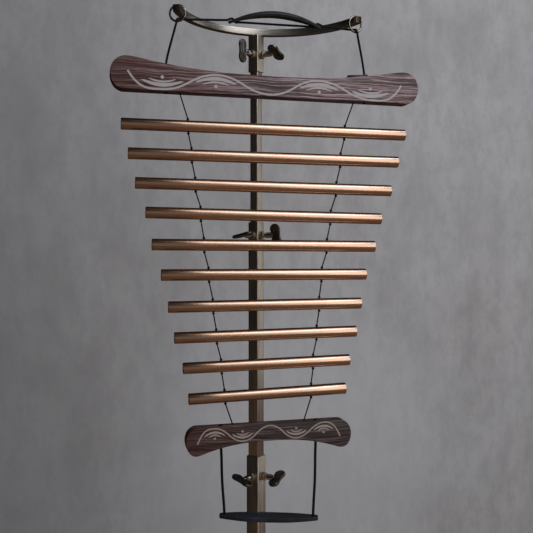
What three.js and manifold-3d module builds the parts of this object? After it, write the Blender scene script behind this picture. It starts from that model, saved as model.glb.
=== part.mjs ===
// A ladder of ten tuned tubes strung between two shaped wooden bars, with a leather grip at each
// end, and the telescoping floor stand whose bow carries it by two rings.
// Millimetres, +Z up. The mast stands on the Z axis, the floor is Z = 0 and the front is -Y.
import * as THREE from "three";
import { mergeVertices } from "three/addons/utils/BufferGeometryUtils.js";
import Module from "manifold-3d";

const wasm = await Module();
wasm.setup();

// Fits shared by every piece that touches another
const clearance = 0.3;
const overrun = 4;

// Tubes: the lengths fall along a scale, and the strings pass where a free bar rests
const longestTube = 408;
const tubeLengthShares = [1, 0.951, 0.901, 0.83, 0.786, 0.722, 0.68, 0.642, 0.588, 0.555];
const tubeDiameter = 16;
const tubeWall = 1.5;
const tubePitch = 41.5;
const tubePitchShares = [0.958, 0.987, 0.977, 1.012, 0.988, 1.037, 1.004, 1.004, 1.012];
const restPointShare = 0.276;
const tubeTiltsDeg = [0.4, 0.4, 0.7, 0.9, 0.3, 0, -0.5, -1, -1.4, -2];
const tubeShifts = [-0.9, -1.5, -2.1, -2.6, -3.1, -3.6, -2.4, -1.9, -1.1, -0.1];

// Strings and cords
const stringDiameter = 1.5;
const stringKnotDiameter = 3.6;
const stringKnotLength = 3;
const stringHole = 2.9;
const stringHoleDepth = 12;
const cordDiameter = 3.2;
const cordKnotDiameter = 6.8;
const cordKnotLength = 5.5;
const handleKnotDiameter = 6;
const handleKnotLength = 3.4;
const cordHole = 5;

// Wooden bars: a straight edge, a hollow edge and swollen round ends
const barThickness = 22;
const barEdgeRound = 0.8;
const topBarLength = 440;
const topBarWaist = 28.9;
const topBarSwell = 45.2;
const topBarSwellInset = 24;
const topBarTiltDeg = 0.6;
const topBarDrop = 116.2;
const firstTubeDrop = 44.3;
const topStringReach = 125;
const suspensionReach = { left: 144, right: 141 };
const bottomBarLength = 237;
const bottomBarWaist = 23.5;
const bottomBarSwell = 39;
const bottomBarSwellInset = 15.5;
const bottomBarTiltDeg = -0.9;
const bottomBarDrop = 41.1;
const bottomStringReach = 51.5;
const handleReach = 68.5;

// Shares of a bar's half length, its swell and its waist that shape the outline
const hollowReachShares = [0.78, 0.5];
const hollowRiseShares = [0.92, 0.97];
const shoulderShares = { reach: 0.62, rise: 1.02 };
const endRiseShares = { widest: 0.46, shoulder: 0.78 };
const footShares = { inset: 0.38, reach: 0.05, rise: 0.06 };

// Leather leaves
const lowerGripLength = 140;
const lowerGripWidth = 28;
const lowerGripThickness = 5;
const lowerGripDrop = 131;
const lowerGripTurnDeg = 16;
const upperGripLength = 131.5;
const upperGripWidth = 22;
const upperGripThickness = 3.6;
const upperGripRise = 15;
const upperGripSink = 2.5;
const upperGripShift = 9.5;
const upperGripLeanDeg = 9;
const gripHoleInset = 7;
const gripTipRadius = 3;
const tagLength = 31;
const tagWidth = 13;
const tagThickness = 2.4;
const tagHoleInset = 5.5;
const tagTipRadius = 3;

// Shares of a leaf's half length, its half width and its tip radius that shape the outline
const leafReachShares = [0.55, 0.35];
const leafTipShares = { reach: 0.3, flank: 0.8, shoulder: 0.5 };

// Bow and rings
const yokeHeight = 1300;
const bowSection = 10;
const bowEdgeRound = 1.2;
const bowRadius = 136;
const bowRingDeg = 70;
const bowEndMargin = 8;
const ringNotchDepth = 2.5;
const ringWire = 3;
const ringInside = 19;

// Telescoping mast of square tubes, turned with one corner to the front
const mastTurnDeg = 45;
const mastCornerRadius = 1.6;
const mastWall = 1.7;
const upperMastSize = 13.5;
const sleeveLength = 55;
const upperExposed = 227;
const midExposed = 355;
const mastOverlap = 150;
const sleeveClampDrop = 29.5;
const midClampDrop = 20;
const lowerClampDrop = 30;

// Clamp bosses and wing bolts, each wing stopped at its own turn
const bossDiameter = 12.6;
const bossLength = 6;
const boltDiameter = 6;
const boltNeck = 3.2;
const hubDiameter = 9;
const hubLength = 8.8;
const wingLength = 35;
const wingWidth = 16.5;
const wingWaist = 12;
const wingThickness = 4.4;
const wingEdgeRound = 1;
const lobeSweepDeg = 115;
const wingTurnsDeg = {
  sleeve: { left: 0, right: 66 },
  mid: { left: -78, right: 15 },
  lower: { left: 70, right: -64 },
};

// Foot of the stand
const socketHeight = 66;
const socketFloor = 4;
const socketRise = 14;
const legSize = 16;
const legWall = 1.6;
const legLength = 232;
const legSlopeDeg = 6;
const shoeWall = 2.6;
const shoeLength = 28;
const shoeSole = 4;
const shoeHeight = 26;

// Facet counts
const tubeSides = 20;
const roundSides = 16;
const strandSides = 8;
const ringSteps = 26;
const bowSteps = 30;
const archSteps = 22;
const curveSteps = 8;
const cornerSteps = 2;

// Colour, roughness and metalness of each material
const copper = { color: 0xb5744b, roughness: 0.32, metalness: 1 };
const walnut = { color: 0x4d3129, roughness: 0.55, metalness: 0 };
const leather = { color: 0x232427, roughness: 0.6, metalness: 0 };
const blackCord = { color: 0x0d0d0e, roughness: 0.85, metalness: 0 };
const bronzed = { color: 0x6d6152, roughness: 0.38, metalness: 1 };
const brushed = { color: 0x9c948a, roughness: 0.35, metalness: 1 };
const darkIron = { color: 0x2f2d2a, roughness: 0.5, metalness: 1 };
const brightRing = { color: 0xb9b4ac, roughness: 0.2, metalness: 1 };
const rubber = { color: 0x161616, roughness: 0.9, metalness: 0 };

// Sizes and places worked out from the values above
const rad = THREE.MathUtils.degToRad;
const tubeLengths = tubeLengthShares.map((share) => share * longestTube);
const ringAngle = rad(bowRingDeg);
const bowHalf = bowSection / 2;
const frontPlane = -bowRadius * (1 - Math.cos(ringAngle));
const ringReach = bowRadius * Math.sin(ringAngle);
const topBarZ = yokeHeight - topBarDrop;
const tubeZ = [topBarZ - firstTubeDrop];
tubePitchShares.forEach((share) => tubeZ.push(tubeZ[tubeZ.length - 1] - share * tubePitch));
const bottomBarZ = tubeZ[tubeZ.length - 1] - bottomBarDrop;
const lowerGripZ = bottomBarZ - lowerGripDrop;
const sleeveSize = upperMastSize + 2 * (mastWall + clearance);
const midMastSize = sleeveSize;
const lowerMastSize = midMastSize + 2 * (mastWall + clearance);
const socketSize = lowerMastSize + 2 * (mastWall + clearance);
const sleeveTop = yokeHeight - bowHalf - clearance;
const sleeveBottom = sleeveTop - sleeveLength;
const midRim = sleeveBottom - upperExposed;
const lowerRim = midRim - midExposed;
const lowerMastBottom = socketRise + socketFloor + clearance;
const ringHole = ringInside / 2;
const ringRadius = ringHole + ringWire / 2;
const ringDrop = bowHalf - ringNotchDepth - Math.sqrt((ringHole - clearance) ** 2 - bowHalf ** 2);
const crossingLevel = yokeHeight + ringDrop - ringHole + cordDiameter / 2 + clearance;
const sides = [-1, 1];
const sideNames = { [-1]: "left", 1: "right" };

const root = new THREE.Group();

// A named mesh in its own material, added to the part
function addPart(name, geometry, finish) {
  const mesh = new THREE.Mesh(geometry, new THREE.MeshStandardMaterial(finish));
  mesh.name = name;
  root.add(mesh);
  return mesh;
}

// A closed geometry as a solid that can be joined and cut
function solidOf(geometry) {
  const bare = geometry.index ? geometry.toNonIndexed() : geometry.clone();
  bare.deleteAttribute("normal");
  bare.deleteAttribute("uv");
  const merged = mergeVertices(bare, 1e-4);
  return new wasm.Manifold(
    new wasm.Mesh({
      numProp: 3,
      vertProperties: merged.attributes.position.array,
      triVerts: new Uint32Array(merged.index.array),
    }),
  );
}

// The faces of a solid as a geometry
function geometryOf(solid) {
  const mesh = solid.getMesh();
  const geometry = new THREE.BufferGeometry();
  geometry.setAttribute("position", new THREE.BufferAttribute(mesh.vertProperties, 3));
  geometry.setIndex(new THREE.BufferAttribute(mesh.triVerts, 1));
  geometry.computeVertexNormals();
  return geometry;
}

function cut(geometry, cutters) {
  return geometryOf(cutters.reduce((body, cutter) => body.subtract(solidOf(cutter)), solidOf(geometry)));
}

function join(geometry, others) {
  return geometryOf(others.reduce((body, other) => body.add(solidOf(other)), solidOf(geometry)));
}

// A round bar from one point to another
function rod(from, to, diameter, facets) {
  const along = new THREE.Vector3().subVectors(to, from);
  const middle = new THREE.Vector3().addVectors(from, to).multiplyScalar(0.5);
  const geometry = new THREE.CylinderGeometry(diameter / 2, diameter / 2, along.length(), facets);
  const upright = new THREE.Vector3(0, 1, 0);
  geometry.applyQuaternion(new THREE.Quaternion().setFromUnitVectors(upright, along.normalize()));
  return geometry.translate(middle.x, middle.y, middle.z);
}

// A drill at a reach along X, upright between two heights
function drill(reach, low, high, diameter) {
  const from = new THREE.Vector3(reach, 0, low);
  const to = new THREE.Vector3(reach, 0, high);
  return rod(from, to, diameter, strandSides);
}

// A square with rounded corners, centred on the origin
function roundedSquare(size, cornerRadius) {
  const straight = size / 2 - cornerRadius;
  const shape = new THREE.Shape();
  shape.absarc(straight, straight, cornerRadius, 0, Math.PI / 2);
  shape.absarc(-straight, straight, cornerRadius, Math.PI / 2, Math.PI);
  shape.absarc(-straight, -straight, cornerRadius, Math.PI, Math.PI * 1.5);
  shape.absarc(straight, -straight, cornerRadius, Math.PI * 1.5, Math.PI * 2);
  return shape;
}

// A tube of round section through the given stations, each with its own radius
function strand(stations, radii) {
  const tangents = stations.map((point, i) => {
    const before = stations[Math.max(i - 1, 0)];
    const after = stations[Math.min(i + 1, stations.length - 1)];
    return new THREE.Vector3().subVectors(after, before).normalize();
  });
  const spokes = [new THREE.Vector3(0, 1, 0)];
  spokes[0].addScaledVector(tangents[0], -spokes[0].dot(tangents[0])).normalize();
  for (let i = 1; i < stations.length; i += 1) {
    const turn = new THREE.Quaternion().setFromUnitVectors(tangents[i - 1], tangents[i]);
    spokes.push(spokes[i - 1].clone().applyQuaternion(turn).normalize());
  }
  const positions = [];
  stations.forEach((point, i) => {
    const other = new THREE.Vector3().crossVectors(tangents[i], spokes[i]);
    for (let k = 0; k < strandSides; k += 1) {
      const angle = (2 * Math.PI * k) / strandSides;
      const corner = point.clone().addScaledVector(spokes[i], Math.cos(angle) * radii[i]);
      corner.addScaledVector(other, Math.sin(angle) * radii[i]);
      positions.push(corner.x, corner.y, corner.z);
    }
  });
  const first = stations[0];
  const last = stations[stations.length - 1];
  positions.push(first.x, first.y, first.z, last.x, last.y, last.z);
  const startCentre = stations.length * strandSides;
  const tail = startCentre - strandSides;
  const faces = [];
  for (let k = 0; k < strandSides; k += 1) {
    const next = (k + 1) % strandSides;
    faces.push(startCentre, next, k);
    for (let a = 0; a < tail; a += strandSides) {
      const b = a + strandSides;
      faces.push(a + k, a + next, b + next, a + k, b + next, b + k);
    }
    faces.push(startCentre + 1, tail + k, tail + next);
  }
  const geometry = new THREE.BufferGeometry();
  geometry.setAttribute("position", new THREE.Float32BufferAttribute(positions, 3));
  geometry.setIndex(faces);
  geometry.computeVertexNormals();
  return geometry;
}

// A route that is collected station by station, with a knot wherever one is tied
class Route {
  constructor(diameter, knotDiameter, knotLength) {
    this.thin = diameter / 2;
    this.thick = knotDiameter / 2;
    this.knotLength = knotLength;
    this.stations = [];
    this.radii = [];
  }

  pass(...points) {
    for (const point of points) {
      this.stations.push(point);
      this.radii.push(this.thin);
    }
  }

  // A knot that begins at a point and runs on in a direction
  knot(point, direction) {
    const reach = [0, 0.2, 0.8, 1].map((share) => share * this.knotLength);
    const radii = [this.thin, this.thick, this.thick, this.thin];
    reach.forEach((distance, i) => {
      this.stations.push(point.clone().addScaledVector(direction, distance));
      this.radii.push(radii[i]);
    });
  }

  // A knot whose end lies at a point and that is reached in a direction
  knotBefore(point, direction) {
    this.knot(point.clone().addScaledVector(direction, -this.knotLength), direction);
  }

  geometry() {
    return strand(this.stations, this.radii);
  }
}

// Tubes, drilled through both walls where the strings pass
function drilledTube(length) {
  const outer = tubeDiameter / 2;
  const inner = outer - tubeWall;
  const half = length / 2;
  const profile = [
    new THREE.Vector2(inner, -half),
    new THREE.Vector2(outer, -half),
    new THREE.Vector2(outer, half),
    new THREE.Vector2(inner, half),
    new THREE.Vector2(inner, -half),
  ];
  const blank = new THREE.LatheGeometry(profile, tubeSides).rotateZ(-Math.PI / 2);
  const holes = sides.map((side) =>
    drill(side * restPointShare * length, -outer - overrun, outer + overrun, stringHole),
  );
  return cut(blank, holes);
}

const tubes = tubeLengths.map((length, i) => {
  const tube = addPart(`tube_${String(i + 1).padStart(2, "0")}`, drilledTube(length), copper);
  tube.position.set(tubeShifts[i], frontPlane, tubeZ[i]);
  tube.rotation.y = rad(tubeTiltsDeg[i]);
  tube.updateMatrixWorld();
  return tube;
});

// Outline of a bar: x along the bar and y up from its straight edge, the same on both halves
function barOutline({ length, waist, swell, swellInset }) {
  const half = length / 2;
  const swellReach = half - swellInset;
  const foot = half - footShares.inset * swell;
  const corner = half - footShares.reach * swell;
  const shoulder = swellReach + shoulderShares.reach * swellInset;
  const cornerRise = footShares.rise * swell;
  const endRise = endRiseShares.widest * swell;
  const shoulderRise = endRiseShares.shoulder * swell;
  const crownRise = shoulderShares.rise * swell;
  const outerReach = hollowReachShares[0] * half;
  const innerReach = hollowReachShares[1] * half;
  const outerRise = hollowRiseShares[0] * swell;
  const innerRise = hollowRiseShares[1] * waist;
  const shape = new THREE.Shape();
  shape.moveTo(-foot, 0);
  shape.lineTo(foot, 0);
  shape.quadraticCurveTo(corner, cornerRise, half, endRise);
  shape.bezierCurveTo(half, shoulderRise, shoulder, crownRise, swellReach, swell);
  shape.bezierCurveTo(outerReach, outerRise, innerReach, innerRise, 0, waist);
  shape.bezierCurveTo(-innerReach, innerRise, -outerReach, outerRise, -swellReach, swell);
  shape.bezierCurveTo(-shoulder, crownRise, -half, shoulderRise, -half, endRise);
  shape.quadraticCurveTo(-corner, cornerRise, -foot, 0);
  return shape;
}

// Height of the hollow edge of a bar at a distance from its middle
function hollowEdge(sizes, reach) {
  const points = barOutline(sizes).getPoints(curveSteps);
  const heights = points.slice(1).map((point, i) => {
    const from = points[i];
    const share = (reach - from.x) / (point.x - from.x);
    return share >= 0 && share <= 1 ? from.y + share * (point.y - from.y) : 0;
  });
  return Math.max(...heights);
}

// A bar that stands on its straight edge in the XZ plane, with the edges of its faces eased
function barBlank(sizes) {
  const geometry = new THREE.ExtrudeGeometry(barOutline(sizes), {
    depth: barThickness - 2 * barEdgeRound,
    bevelThickness: barEdgeRound,
    bevelSize: barEdgeRound,
    bevelOffset: -barEdgeRound,
    bevelSegments: 1,
    curveSegments: curveSteps,
  });
  return geometry.translate(0, 0, barEdgeRound - barThickness / 2).rotateX(Math.PI / 2);
}

const topBarSizes = {
  length: topBarLength,
  waist: topBarWaist,
  swell: topBarSwell,
  swellInset: topBarSwellInset,
};
const topHoles = sides.flatMap((side) => [
  drill(side * suspensionReach[sideNames[side]], -overrun, topBarSwell + overrun, cordHole),
  drill(side * topStringReach, -overrun, stringHoleDepth, stringHole),
]);
const topBar = addPart("top_bar", cut(barBlank(topBarSizes), topHoles), walnut);
topBar.position.set(0, frontPlane, topBarZ);
topBar.rotation.y = rad(topBarTiltDeg);
topBar.updateMatrixWorld();

const bottomBarSizes = {
  length: bottomBarLength,
  waist: bottomBarWaist,
  swell: bottomBarSwell,
  swellInset: bottomBarSwellInset,
};
const bottomHoles = sides.flatMap((side) => [
  drill(side * handleReach, -bottomBarSwell - overrun, overrun, cordHole),
  drill(side * bottomStringReach, -stringHoleDepth, overrun, stringHole),
]);
const bottomBlank = barBlank(bottomBarSizes).rotateX(Math.PI);
const bottomBar = addPart("bottom_bar", cut(bottomBlank, bottomHoles), walnut);
bottomBar.position.set(0, frontPlane, bottomBarZ);
bottomBar.rotation.y = rad(bottomBarTiltDeg);
bottomBar.updateMatrixWorld();

// Strings: one unbroken strand a side, knotted above and below every tube
function stringStrand(side) {
  const route = new Route(stringDiameter, stringKnotDiameter, stringKnotLength);
  const inBar = stringHoleDepth - overrun / 2;
  const exit = tubeDiameter / 2 + clearance;
  route.pass(topBar.localToWorld(new THREE.Vector3(side * topStringReach, 0, inBar)));
  let leaving = topBar.localToWorld(new THREE.Vector3(side * topStringReach, 0, 0));
  route.pass(leaving);
  tubes.forEach((tube, i) => {
    const reach = side * restPointShare * tubeLengths[i];
    const above = tube.localToWorld(new THREE.Vector3(reach, 0, exit));
    const below = tube.localToWorld(new THREE.Vector3(reach, 0, -exit));
    const down = new THREE.Vector3().subVectors(above, leaving).normalize();
    if (i > 0) route.knot(leaving, down);
    route.knotBefore(above, down);
    leaving = below;
  });
  const arriving = bottomBar.localToWorld(new THREE.Vector3(side * bottomStringReach, 0, 0));
  route.knot(leaving, new THREE.Vector3().subVectors(arriving, leaving).normalize());
  route.pass(arriving);
  route.pass(bottomBar.localToWorld(new THREE.Vector3(side * bottomStringReach, 0, -inBar)));
  return route.geometry();
}

for (const side of sides) addPart(`${sideNames[side]}_string`, stringStrand(side), blackCord);

// Bow: a square bar bent flat to an arc, notched across the top near each end for a ring
class BowArc extends THREE.Curve {
  getPoint(t, target = new THREE.Vector3()) {
    const end = ringAngle + bowEndMargin / bowRadius;
    const angle = (2 * t - 1) * end;
    return target.set(bowRadius * Math.sin(angle), -bowRadius * (1 - Math.cos(angle)), 0);
  }
}

// Moves a piece made across the bow's end (x along the bow, y outward) to its place
function atRing(side, geometry) {
  return geometry.rotateZ(-side * ringAngle).translate(side * ringReach, frontPlane, yokeHeight);
}

function notchedBow() {
  const bar = new THREE.ExtrudeGeometry(roundedSquare(bowSection, bowEdgeRound), {
    steps: bowSteps,
    curveSegments: 1,
    extrudePath: new BowArc(),
  });
  const notchWidth = ringWire + 2 * clearance;
  const notchHeight = ringNotchDepth + overrun;
  const notches = sides.map((side) => {
    const notch = new THREE.BoxGeometry(notchWidth, bowSection + 2 * overrun, notchHeight);
    return atRing(side, notch.translate(0, 0, bowHalf - ringNotchDepth + notchHeight / 2));
  });
  return cut(bar.translate(0, 0, yokeHeight), notches);
}

addPart("yoke_bow", notchedBow(), brushed);

// Rings: each rests on the two edges of its notch and stands square to the bow
for (const side of sides) {
  const ring = new THREE.TorusGeometry(ringRadius, ringWire / 2, strandSides, ringSteps);
  ring.rotateZ(Math.PI / ringSteps).rotateY(Math.PI / 2).translate(0, 0, ringDrop);
  addPart(`${sideNames[side]}_ring`, atRing(side, ring), brightRing);
}

// Leaf outline of a leather piece: two long arcs that meet in small round tips
function leafOutline(length, width, tipRadius) {
  const half = length / 2;
  const flank = width / 2;
  const outer = leafReachShares[0] * half;
  const inner = leafReachShares[1] * half;
  const tip = half - leafTipShares.reach * tipRadius;
  const tipFlank = leafTipShares.flank * tipRadius;
  const shoulder = leafTipShares.shoulder * tipRadius;
  const shape = new THREE.Shape();
  shape.moveTo(-tip, -tipFlank);
  shape.bezierCurveTo(-outer, -flank, -inner, -flank, 0, -flank);
  shape.bezierCurveTo(inner, -flank, outer, -flank, tip, -tipFlank);
  shape.quadraticCurveTo(half, -shoulder, half, 0);
  shape.quadraticCurveTo(half, shoulder, tip, tipFlank);
  shape.bezierCurveTo(outer, flank, inner, flank, 0, flank);
  shape.bezierCurveTo(-inner, flank, -outer, flank, -tip, tipFlank);
  shape.quadraticCurveTo(-half, shoulder, -half, 0);
  shape.quadraticCurveTo(-half, -shoulder, -tip, -tipFlank);
  return shape;
}

// A flat leaf that lies on the XY plane
function leafBlank(length, width, tipRadius, thickness) {
  return new THREE.ExtrudeGeometry(leafOutline(length, width, tipRadius), {
    depth: thickness,
    bevelEnabled: false,
    curveSegments: curveSteps,
  });
}

// Lower grip: a flat leather leaf below the bottom bar, turned a little on its cords
const lowerHole = lowerGripLength / 2 - gripHoleInset;
const lowerLeaf = leafBlank(lowerGripLength, lowerGripWidth, gripTipRadius, lowerGripThickness);
const lowerHoles = sides.map((side) =>
  drill(side * lowerHole, -overrun, lowerGripThickness + overrun, cordHole),
);
const lowerGrip = addPart("lower_grip", cut(lowerLeaf, lowerHoles), leather);
lowerGrip.position.set(0, frontPlane, lowerGripZ - lowerGripThickness);
lowerGrip.rotation.z = rad(-lowerGripTurnDeg);
lowerGrip.updateMatrixWorld();

// Handle cords: knotted on the bar, down through it and through the leather, knotted below
function handleCord(side) {
  const route = new Route(cordDiameter, handleKnotDiameter, handleKnotLength);
  const barPoint = (height) => bottomBar.localToWorld(new THREE.Vector3(side * handleReach, 0, height));
  const gripPoint = (height) => lowerGrip.localToWorld(new THREE.Vector3(side * lowerHole, 0, height));
  const down = new THREE.Vector3().subVectors(barPoint(-1), barPoint(0));
  const leaving = barPoint(-hollowEdge(bottomBarSizes, handleReach) - clearance);
  const arriving = gripPoint(lowerGripThickness + clearance);
  route.knotBefore(barPoint(clearance), down);
  route.pass(leaving, leaving.clone().lerp(arriving, 0.1), leaving.clone().lerp(arriving, 0.9), arriving);
  route.knot(gripPoint(-clearance), new THREE.Vector3(0, 0, -1));
  return route.geometry();
}

for (const side of sides) addPart(`${sideNames[side]}_handle_cord`, handleCord(side), blackCord);

// Upper grip: the same leaf bent up into an arch, its holes square to the leather
const archHalf = upperGripLength / 2;
const archHole = archHalf - gripHoleInset;

// Underside of the arch over the crossing cord, at a distance from its middle
function archUnderside(reach) {
  return upperGripRise * (1 - (reach / archHalf) ** 2) - upperGripSink;
}

// A point given along and across the leather, measured from the middle of a grip hole
function archPoint(side, outward, up) {
  const slope = (-2 * upperGripRise * archHole) / archHalf ** 2;
  const along = new THREE.Vector3(1, 0, slope).normalize();
  const across = new THREE.Vector3(-slope, 0, 1).normalize();
  const middle = archUnderside(archHole) + upperGripThickness / 2;
  const point = new THREE.Vector3(archHole, 0, middle);
  point.addScaledVector(along, outward).addScaledVector(across, up);
  point.x *= side;
  return point;
}

function archedLeaf() {
  const reachAt = (i) => archHalf * ((2 * i) / archSteps - 1);
  const steps = Array.from({ length: archSteps + 1 }, (_, i) => reachAt(i));
  const under = steps.map((reach) => new THREE.Vector2(reach, archUnderside(reach)));
  const over = under.map((point) => point.clone().setY(point.y + upperGripThickness)).reverse();
  const arch = new THREE.ExtrudeGeometry(new THREE.Shape([...under, ...over]), {
    depth: upperGripWidth + 2 * overrun,
    bevelEnabled: false,
  });
  arch.rotateX(Math.PI / 2).translate(0, upperGripWidth / 2 + overrun, 0);
  const height = upperGripRise + upperGripThickness + 2 * overrun;
  const leaf = leafBlank(upperGripLength, upperGripWidth, gripTipRadius, height);
  leaf.translate(0, 0, -upperGripSink - overrun);
  const bent = geometryOf(solidOf(arch).intersect(solidOf(leaf)));
  const holes = sides.map((side) =>
    rod(archPoint(side, 0, -overrun), archPoint(side, 0, overrun), cordHole, strandSides),
  );
  return cut(bent, holes);
}

const upperGrip = addPart("upper_grip", archedLeaf(), leather);
upperGrip.position.set(upperGripShift, frontPlane, crossingLevel);
upperGrip.rotation.x = rad(upperGripLeanDeg);
upperGrip.updateMatrixWorld();

// Cord tag: a small leaf that lies on the hollow edge of the top bar, round the right-hand cord
const tagReach = suspensionReach.right + tagHoleInset - tagLength / 2;
const tagRises = sides.map((side) => hollowEdge(topBarSizes, tagReach + (side * tagLength) / 2));
const tagHole = drill(tagLength / 2 - tagHoleInset, -overrun, tagThickness + overrun, cordHole);
const tag = cut(leafBlank(tagLength, tagWidth, tagTipRadius, tagThickness), [tagHole]);
tag.rotateY(-Math.atan2(tagRises[1] - tagRises[0], tagLength));
tag.translate(tagReach, 0, (tagRises[0] + tagRises[1]) / 2 + clearance);
const cordTag = addPart("cord_tag", tag, leather);
cordTag.position.copy(topBar.position);
cordTag.rotation.copy(topBar.rotation);

// Stations of the cord where it climbs over the foot of a ring, as shares of its wrap radius:
// to the front, outward along the bow's radius, and up
const ringClimbShares = [
  [1, 0.3, -0.8],
  [0.97, 0.15, 0.25],
  [0.71, 0, 0.72],
  [0.26, 0, 1],
  [-0.22, -0.35, 1.03],
  [-0.7, -1, 1.03],
  [-1.1, -2, 1.03],
  [-1.5, -3.1, 1.03],
];

// Stations of the cord through a grip hole, as shares of its lift off the leather: out and up
const gripDiveShares = [
  [2.4, 1.04],
  [1.3, 1.06],
  [0.65, 1.02],
  [0.24, 0.76],
  [0.03, 0.38],
  [0, 0],
  [-0.03, -0.38],
  [-0.24, -0.76],
  [-0.65, -1.02],
  [-1.3, -1.1],
];

// Half of the hanging cord: knot, up through the top bar, over the ring, down through the grip
function cordHalf(side) {
  const route = new Route(cordDiameter, cordKnotDiameter, cordKnotLength);
  const reach = suspensionReach[sideNames[side]];
  const barPoint = (height) => topBar.localToWorld(new THREE.Vector3(side * reach, 0, height));
  const up = new THREE.Vector3().subVectors(barPoint(1), barPoint(0));
  route.knotBefore(barPoint(-clearance), up);
  const top = hollowEdge(topBarSizes, reach) + tagThickness + clearance;
  route.pass(barPoint(0), barPoint(top));
  const wrap = ringWire / 2 + cordDiameter / 2 + clearance;
  for (const [front, outward, rise] of ringClimbShares) {
    const station = new THREE.Vector3(side * front * wrap, outward * wrap, rise * wrap);
    station.z += ringDrop - ringRadius;
    station.applyAxisAngle(new THREE.Vector3(0, 0, 1), -side * ringAngle);
    route.pass(station.add(new THREE.Vector3(side * ringReach, frontPlane, yokeHeight)));
  }
  const lift = upperGripThickness / 2 + cordDiameter / 2 + clearance;
  for (const [outward, rise] of gripDiveShares) {
    route.pass(upperGrip.localToWorld(archPoint(side, outward * lift, rise * lift)));
  }
  return route;
}

const cordHalves = sides.map((side) => cordHalf(side));
const cordStations = [...cordHalves[0].stations, ...cordHalves[1].stations.reverse()];
const cordRadii = [...cordHalves[0].radii, ...cordHalves[1].radii.reverse()];
addPart("hanging_cord", strand(cordStations, cordRadii), blackCord);

// Mast: square tubes that slide in one another, each collar drilled for its two bolts
const mastTurn = rad(mastTurnDeg);

function squareTube(size, wall, bottom, top) {
  const section = roundedSquare(size, mastCornerRadius);
  section.holes.push(roundedSquare(size - 2 * wall, mastCornerRadius / 2));
  const geometry = new THREE.ExtrudeGeometry(section, {
    depth: top - bottom,
    bevelEnabled: false,
    curveSegments: cornerSteps,
  });
  return geometry.translate(0, 0, bottom).rotateZ(mastTurn);
}

// Turns a piece made along +X to face front left or front right, at a height on the mast
function onFace(side, height, geometry) {
  return geometry.rotateZ(-Math.PI / 2 + side * mastTurn).translate(0, 0, height);
}

function boltBore(side, height, size) {
  const from = new THREE.Vector3(size / 2 - mastWall - clearance, 0, 0);
  const to = new THREE.Vector3(size / 2 + overrun, 0, 0);
  return onFace(side, height, rod(from, to, boltDiameter + 2 * clearance, roundSides));
}

function collar(size, bottom, top, clampHeight) {
  const bores = sides.map((side) => boltBore(side, clampHeight, size));
  return cut(squareTube(size, mastWall, bottom, top), bores);
}

const sleeveClamp = sleeveTop - sleeveClampDrop;
const midClamp = midRim - midClampDrop;
const lowerClamp = lowerRim - lowerClampDrop;
const upperMast = squareTube(upperMastSize, mastWall, midRim - mastOverlap, sleeveTop - clearance);
addPart("yoke_sleeve", collar(sleeveSize, sleeveBottom, sleeveTop, sleeveClamp), bronzed);
addPart("upper_mast", upperMast, bronzed);
addPart("mid_mast", collar(midMastSize, lowerRim - mastOverlap, midRim, midClamp), bronzed);
addPart("lower_mast", collar(lowerMastSize, lowerMastBottom, lowerRim, lowerClamp), bronzed);

// Clamp boss: a short round collar on a mast face, bored for its bolt
function boss(size) {
  const inner = boltDiameter / 2 + clearance;
  const outer = bossDiameter / 2;
  const start = size / 2 + clearance;
  const end = start + bossLength;
  const profile = [
    new THREE.Vector2(inner, start),
    new THREE.Vector2(outer, start),
    new THREE.Vector2(outer, end),
    new THREE.Vector2(inner, end),
    new THREE.Vector2(inner, start),
  ];
  return new THREE.LatheGeometry(profile, roundSides).rotateZ(-Math.PI / 2);
}

// Wing of a bolt: two round lobes with a waist between them, in the plane of the bolt
function wingPlate() {
  const radius = wingWidth / 2;
  const lobe = wingLength / 2 - radius;
  const sweep = rad(lobeSweepDeg);
  const gate = new THREE.Vector2(lobe + radius * Math.cos(sweep), radius * Math.sin(sweep));
  const dip = wingWaist - gate.y;
  const shape = new THREE.Shape();
  shape.moveTo(gate.x, -gate.y);
  shape.absarc(lobe, 0, radius, -sweep, sweep);
  shape.quadraticCurveTo(0, dip, -gate.x, gate.y);
  shape.absarc(-lobe, 0, radius, Math.PI - sweep, Math.PI + sweep);
  shape.quadraticCurveTo(0, -dip, gate.x, -gate.y);
  const geometry = new THREE.ExtrudeGeometry(shape, {
    depth: wingThickness - 2 * wingEdgeRound,
    bevelThickness: wingEdgeRound,
    bevelSize: wingEdgeRound,
    bevelOffset: -wingEdgeRound,
    bevelSegments: 1,
    curveSegments: curveSteps / 2,
  });
  geometry.translate(0, 0, wingEdgeRound - wingThickness / 2);
  return geometry.rotateZ(Math.PI / 2).rotateX(Math.PI / 2);
}

// Wing bolt: shank to the inner tube, hub outside the boss and the wing across its end
function wingBolt(size, turnDeg) {
  const point = size / 2 - mastWall;
  const hubStart = size / 2 + clearance + bossLength + boltNeck;
  const hubEnd = hubStart + hubLength;
  const wingReach = hubEnd + wingWidth / 2;
  const hubTail = wingReach - wingWaist / 2 + overrun / 2;
  const along = (from, to, diameter) =>
    rod(new THREE.Vector3(from, 0, 0), new THREE.Vector3(to, 0, 0), diameter, roundSides);
  const shank = along(point, hubEnd, boltDiameter);
  const hub = along(hubStart, hubTail, hubDiameter);
  return join(wingPlate().translate(wingReach, 0, 0), [shank, hub]).rotateX(rad(turnDeg));
}

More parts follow.
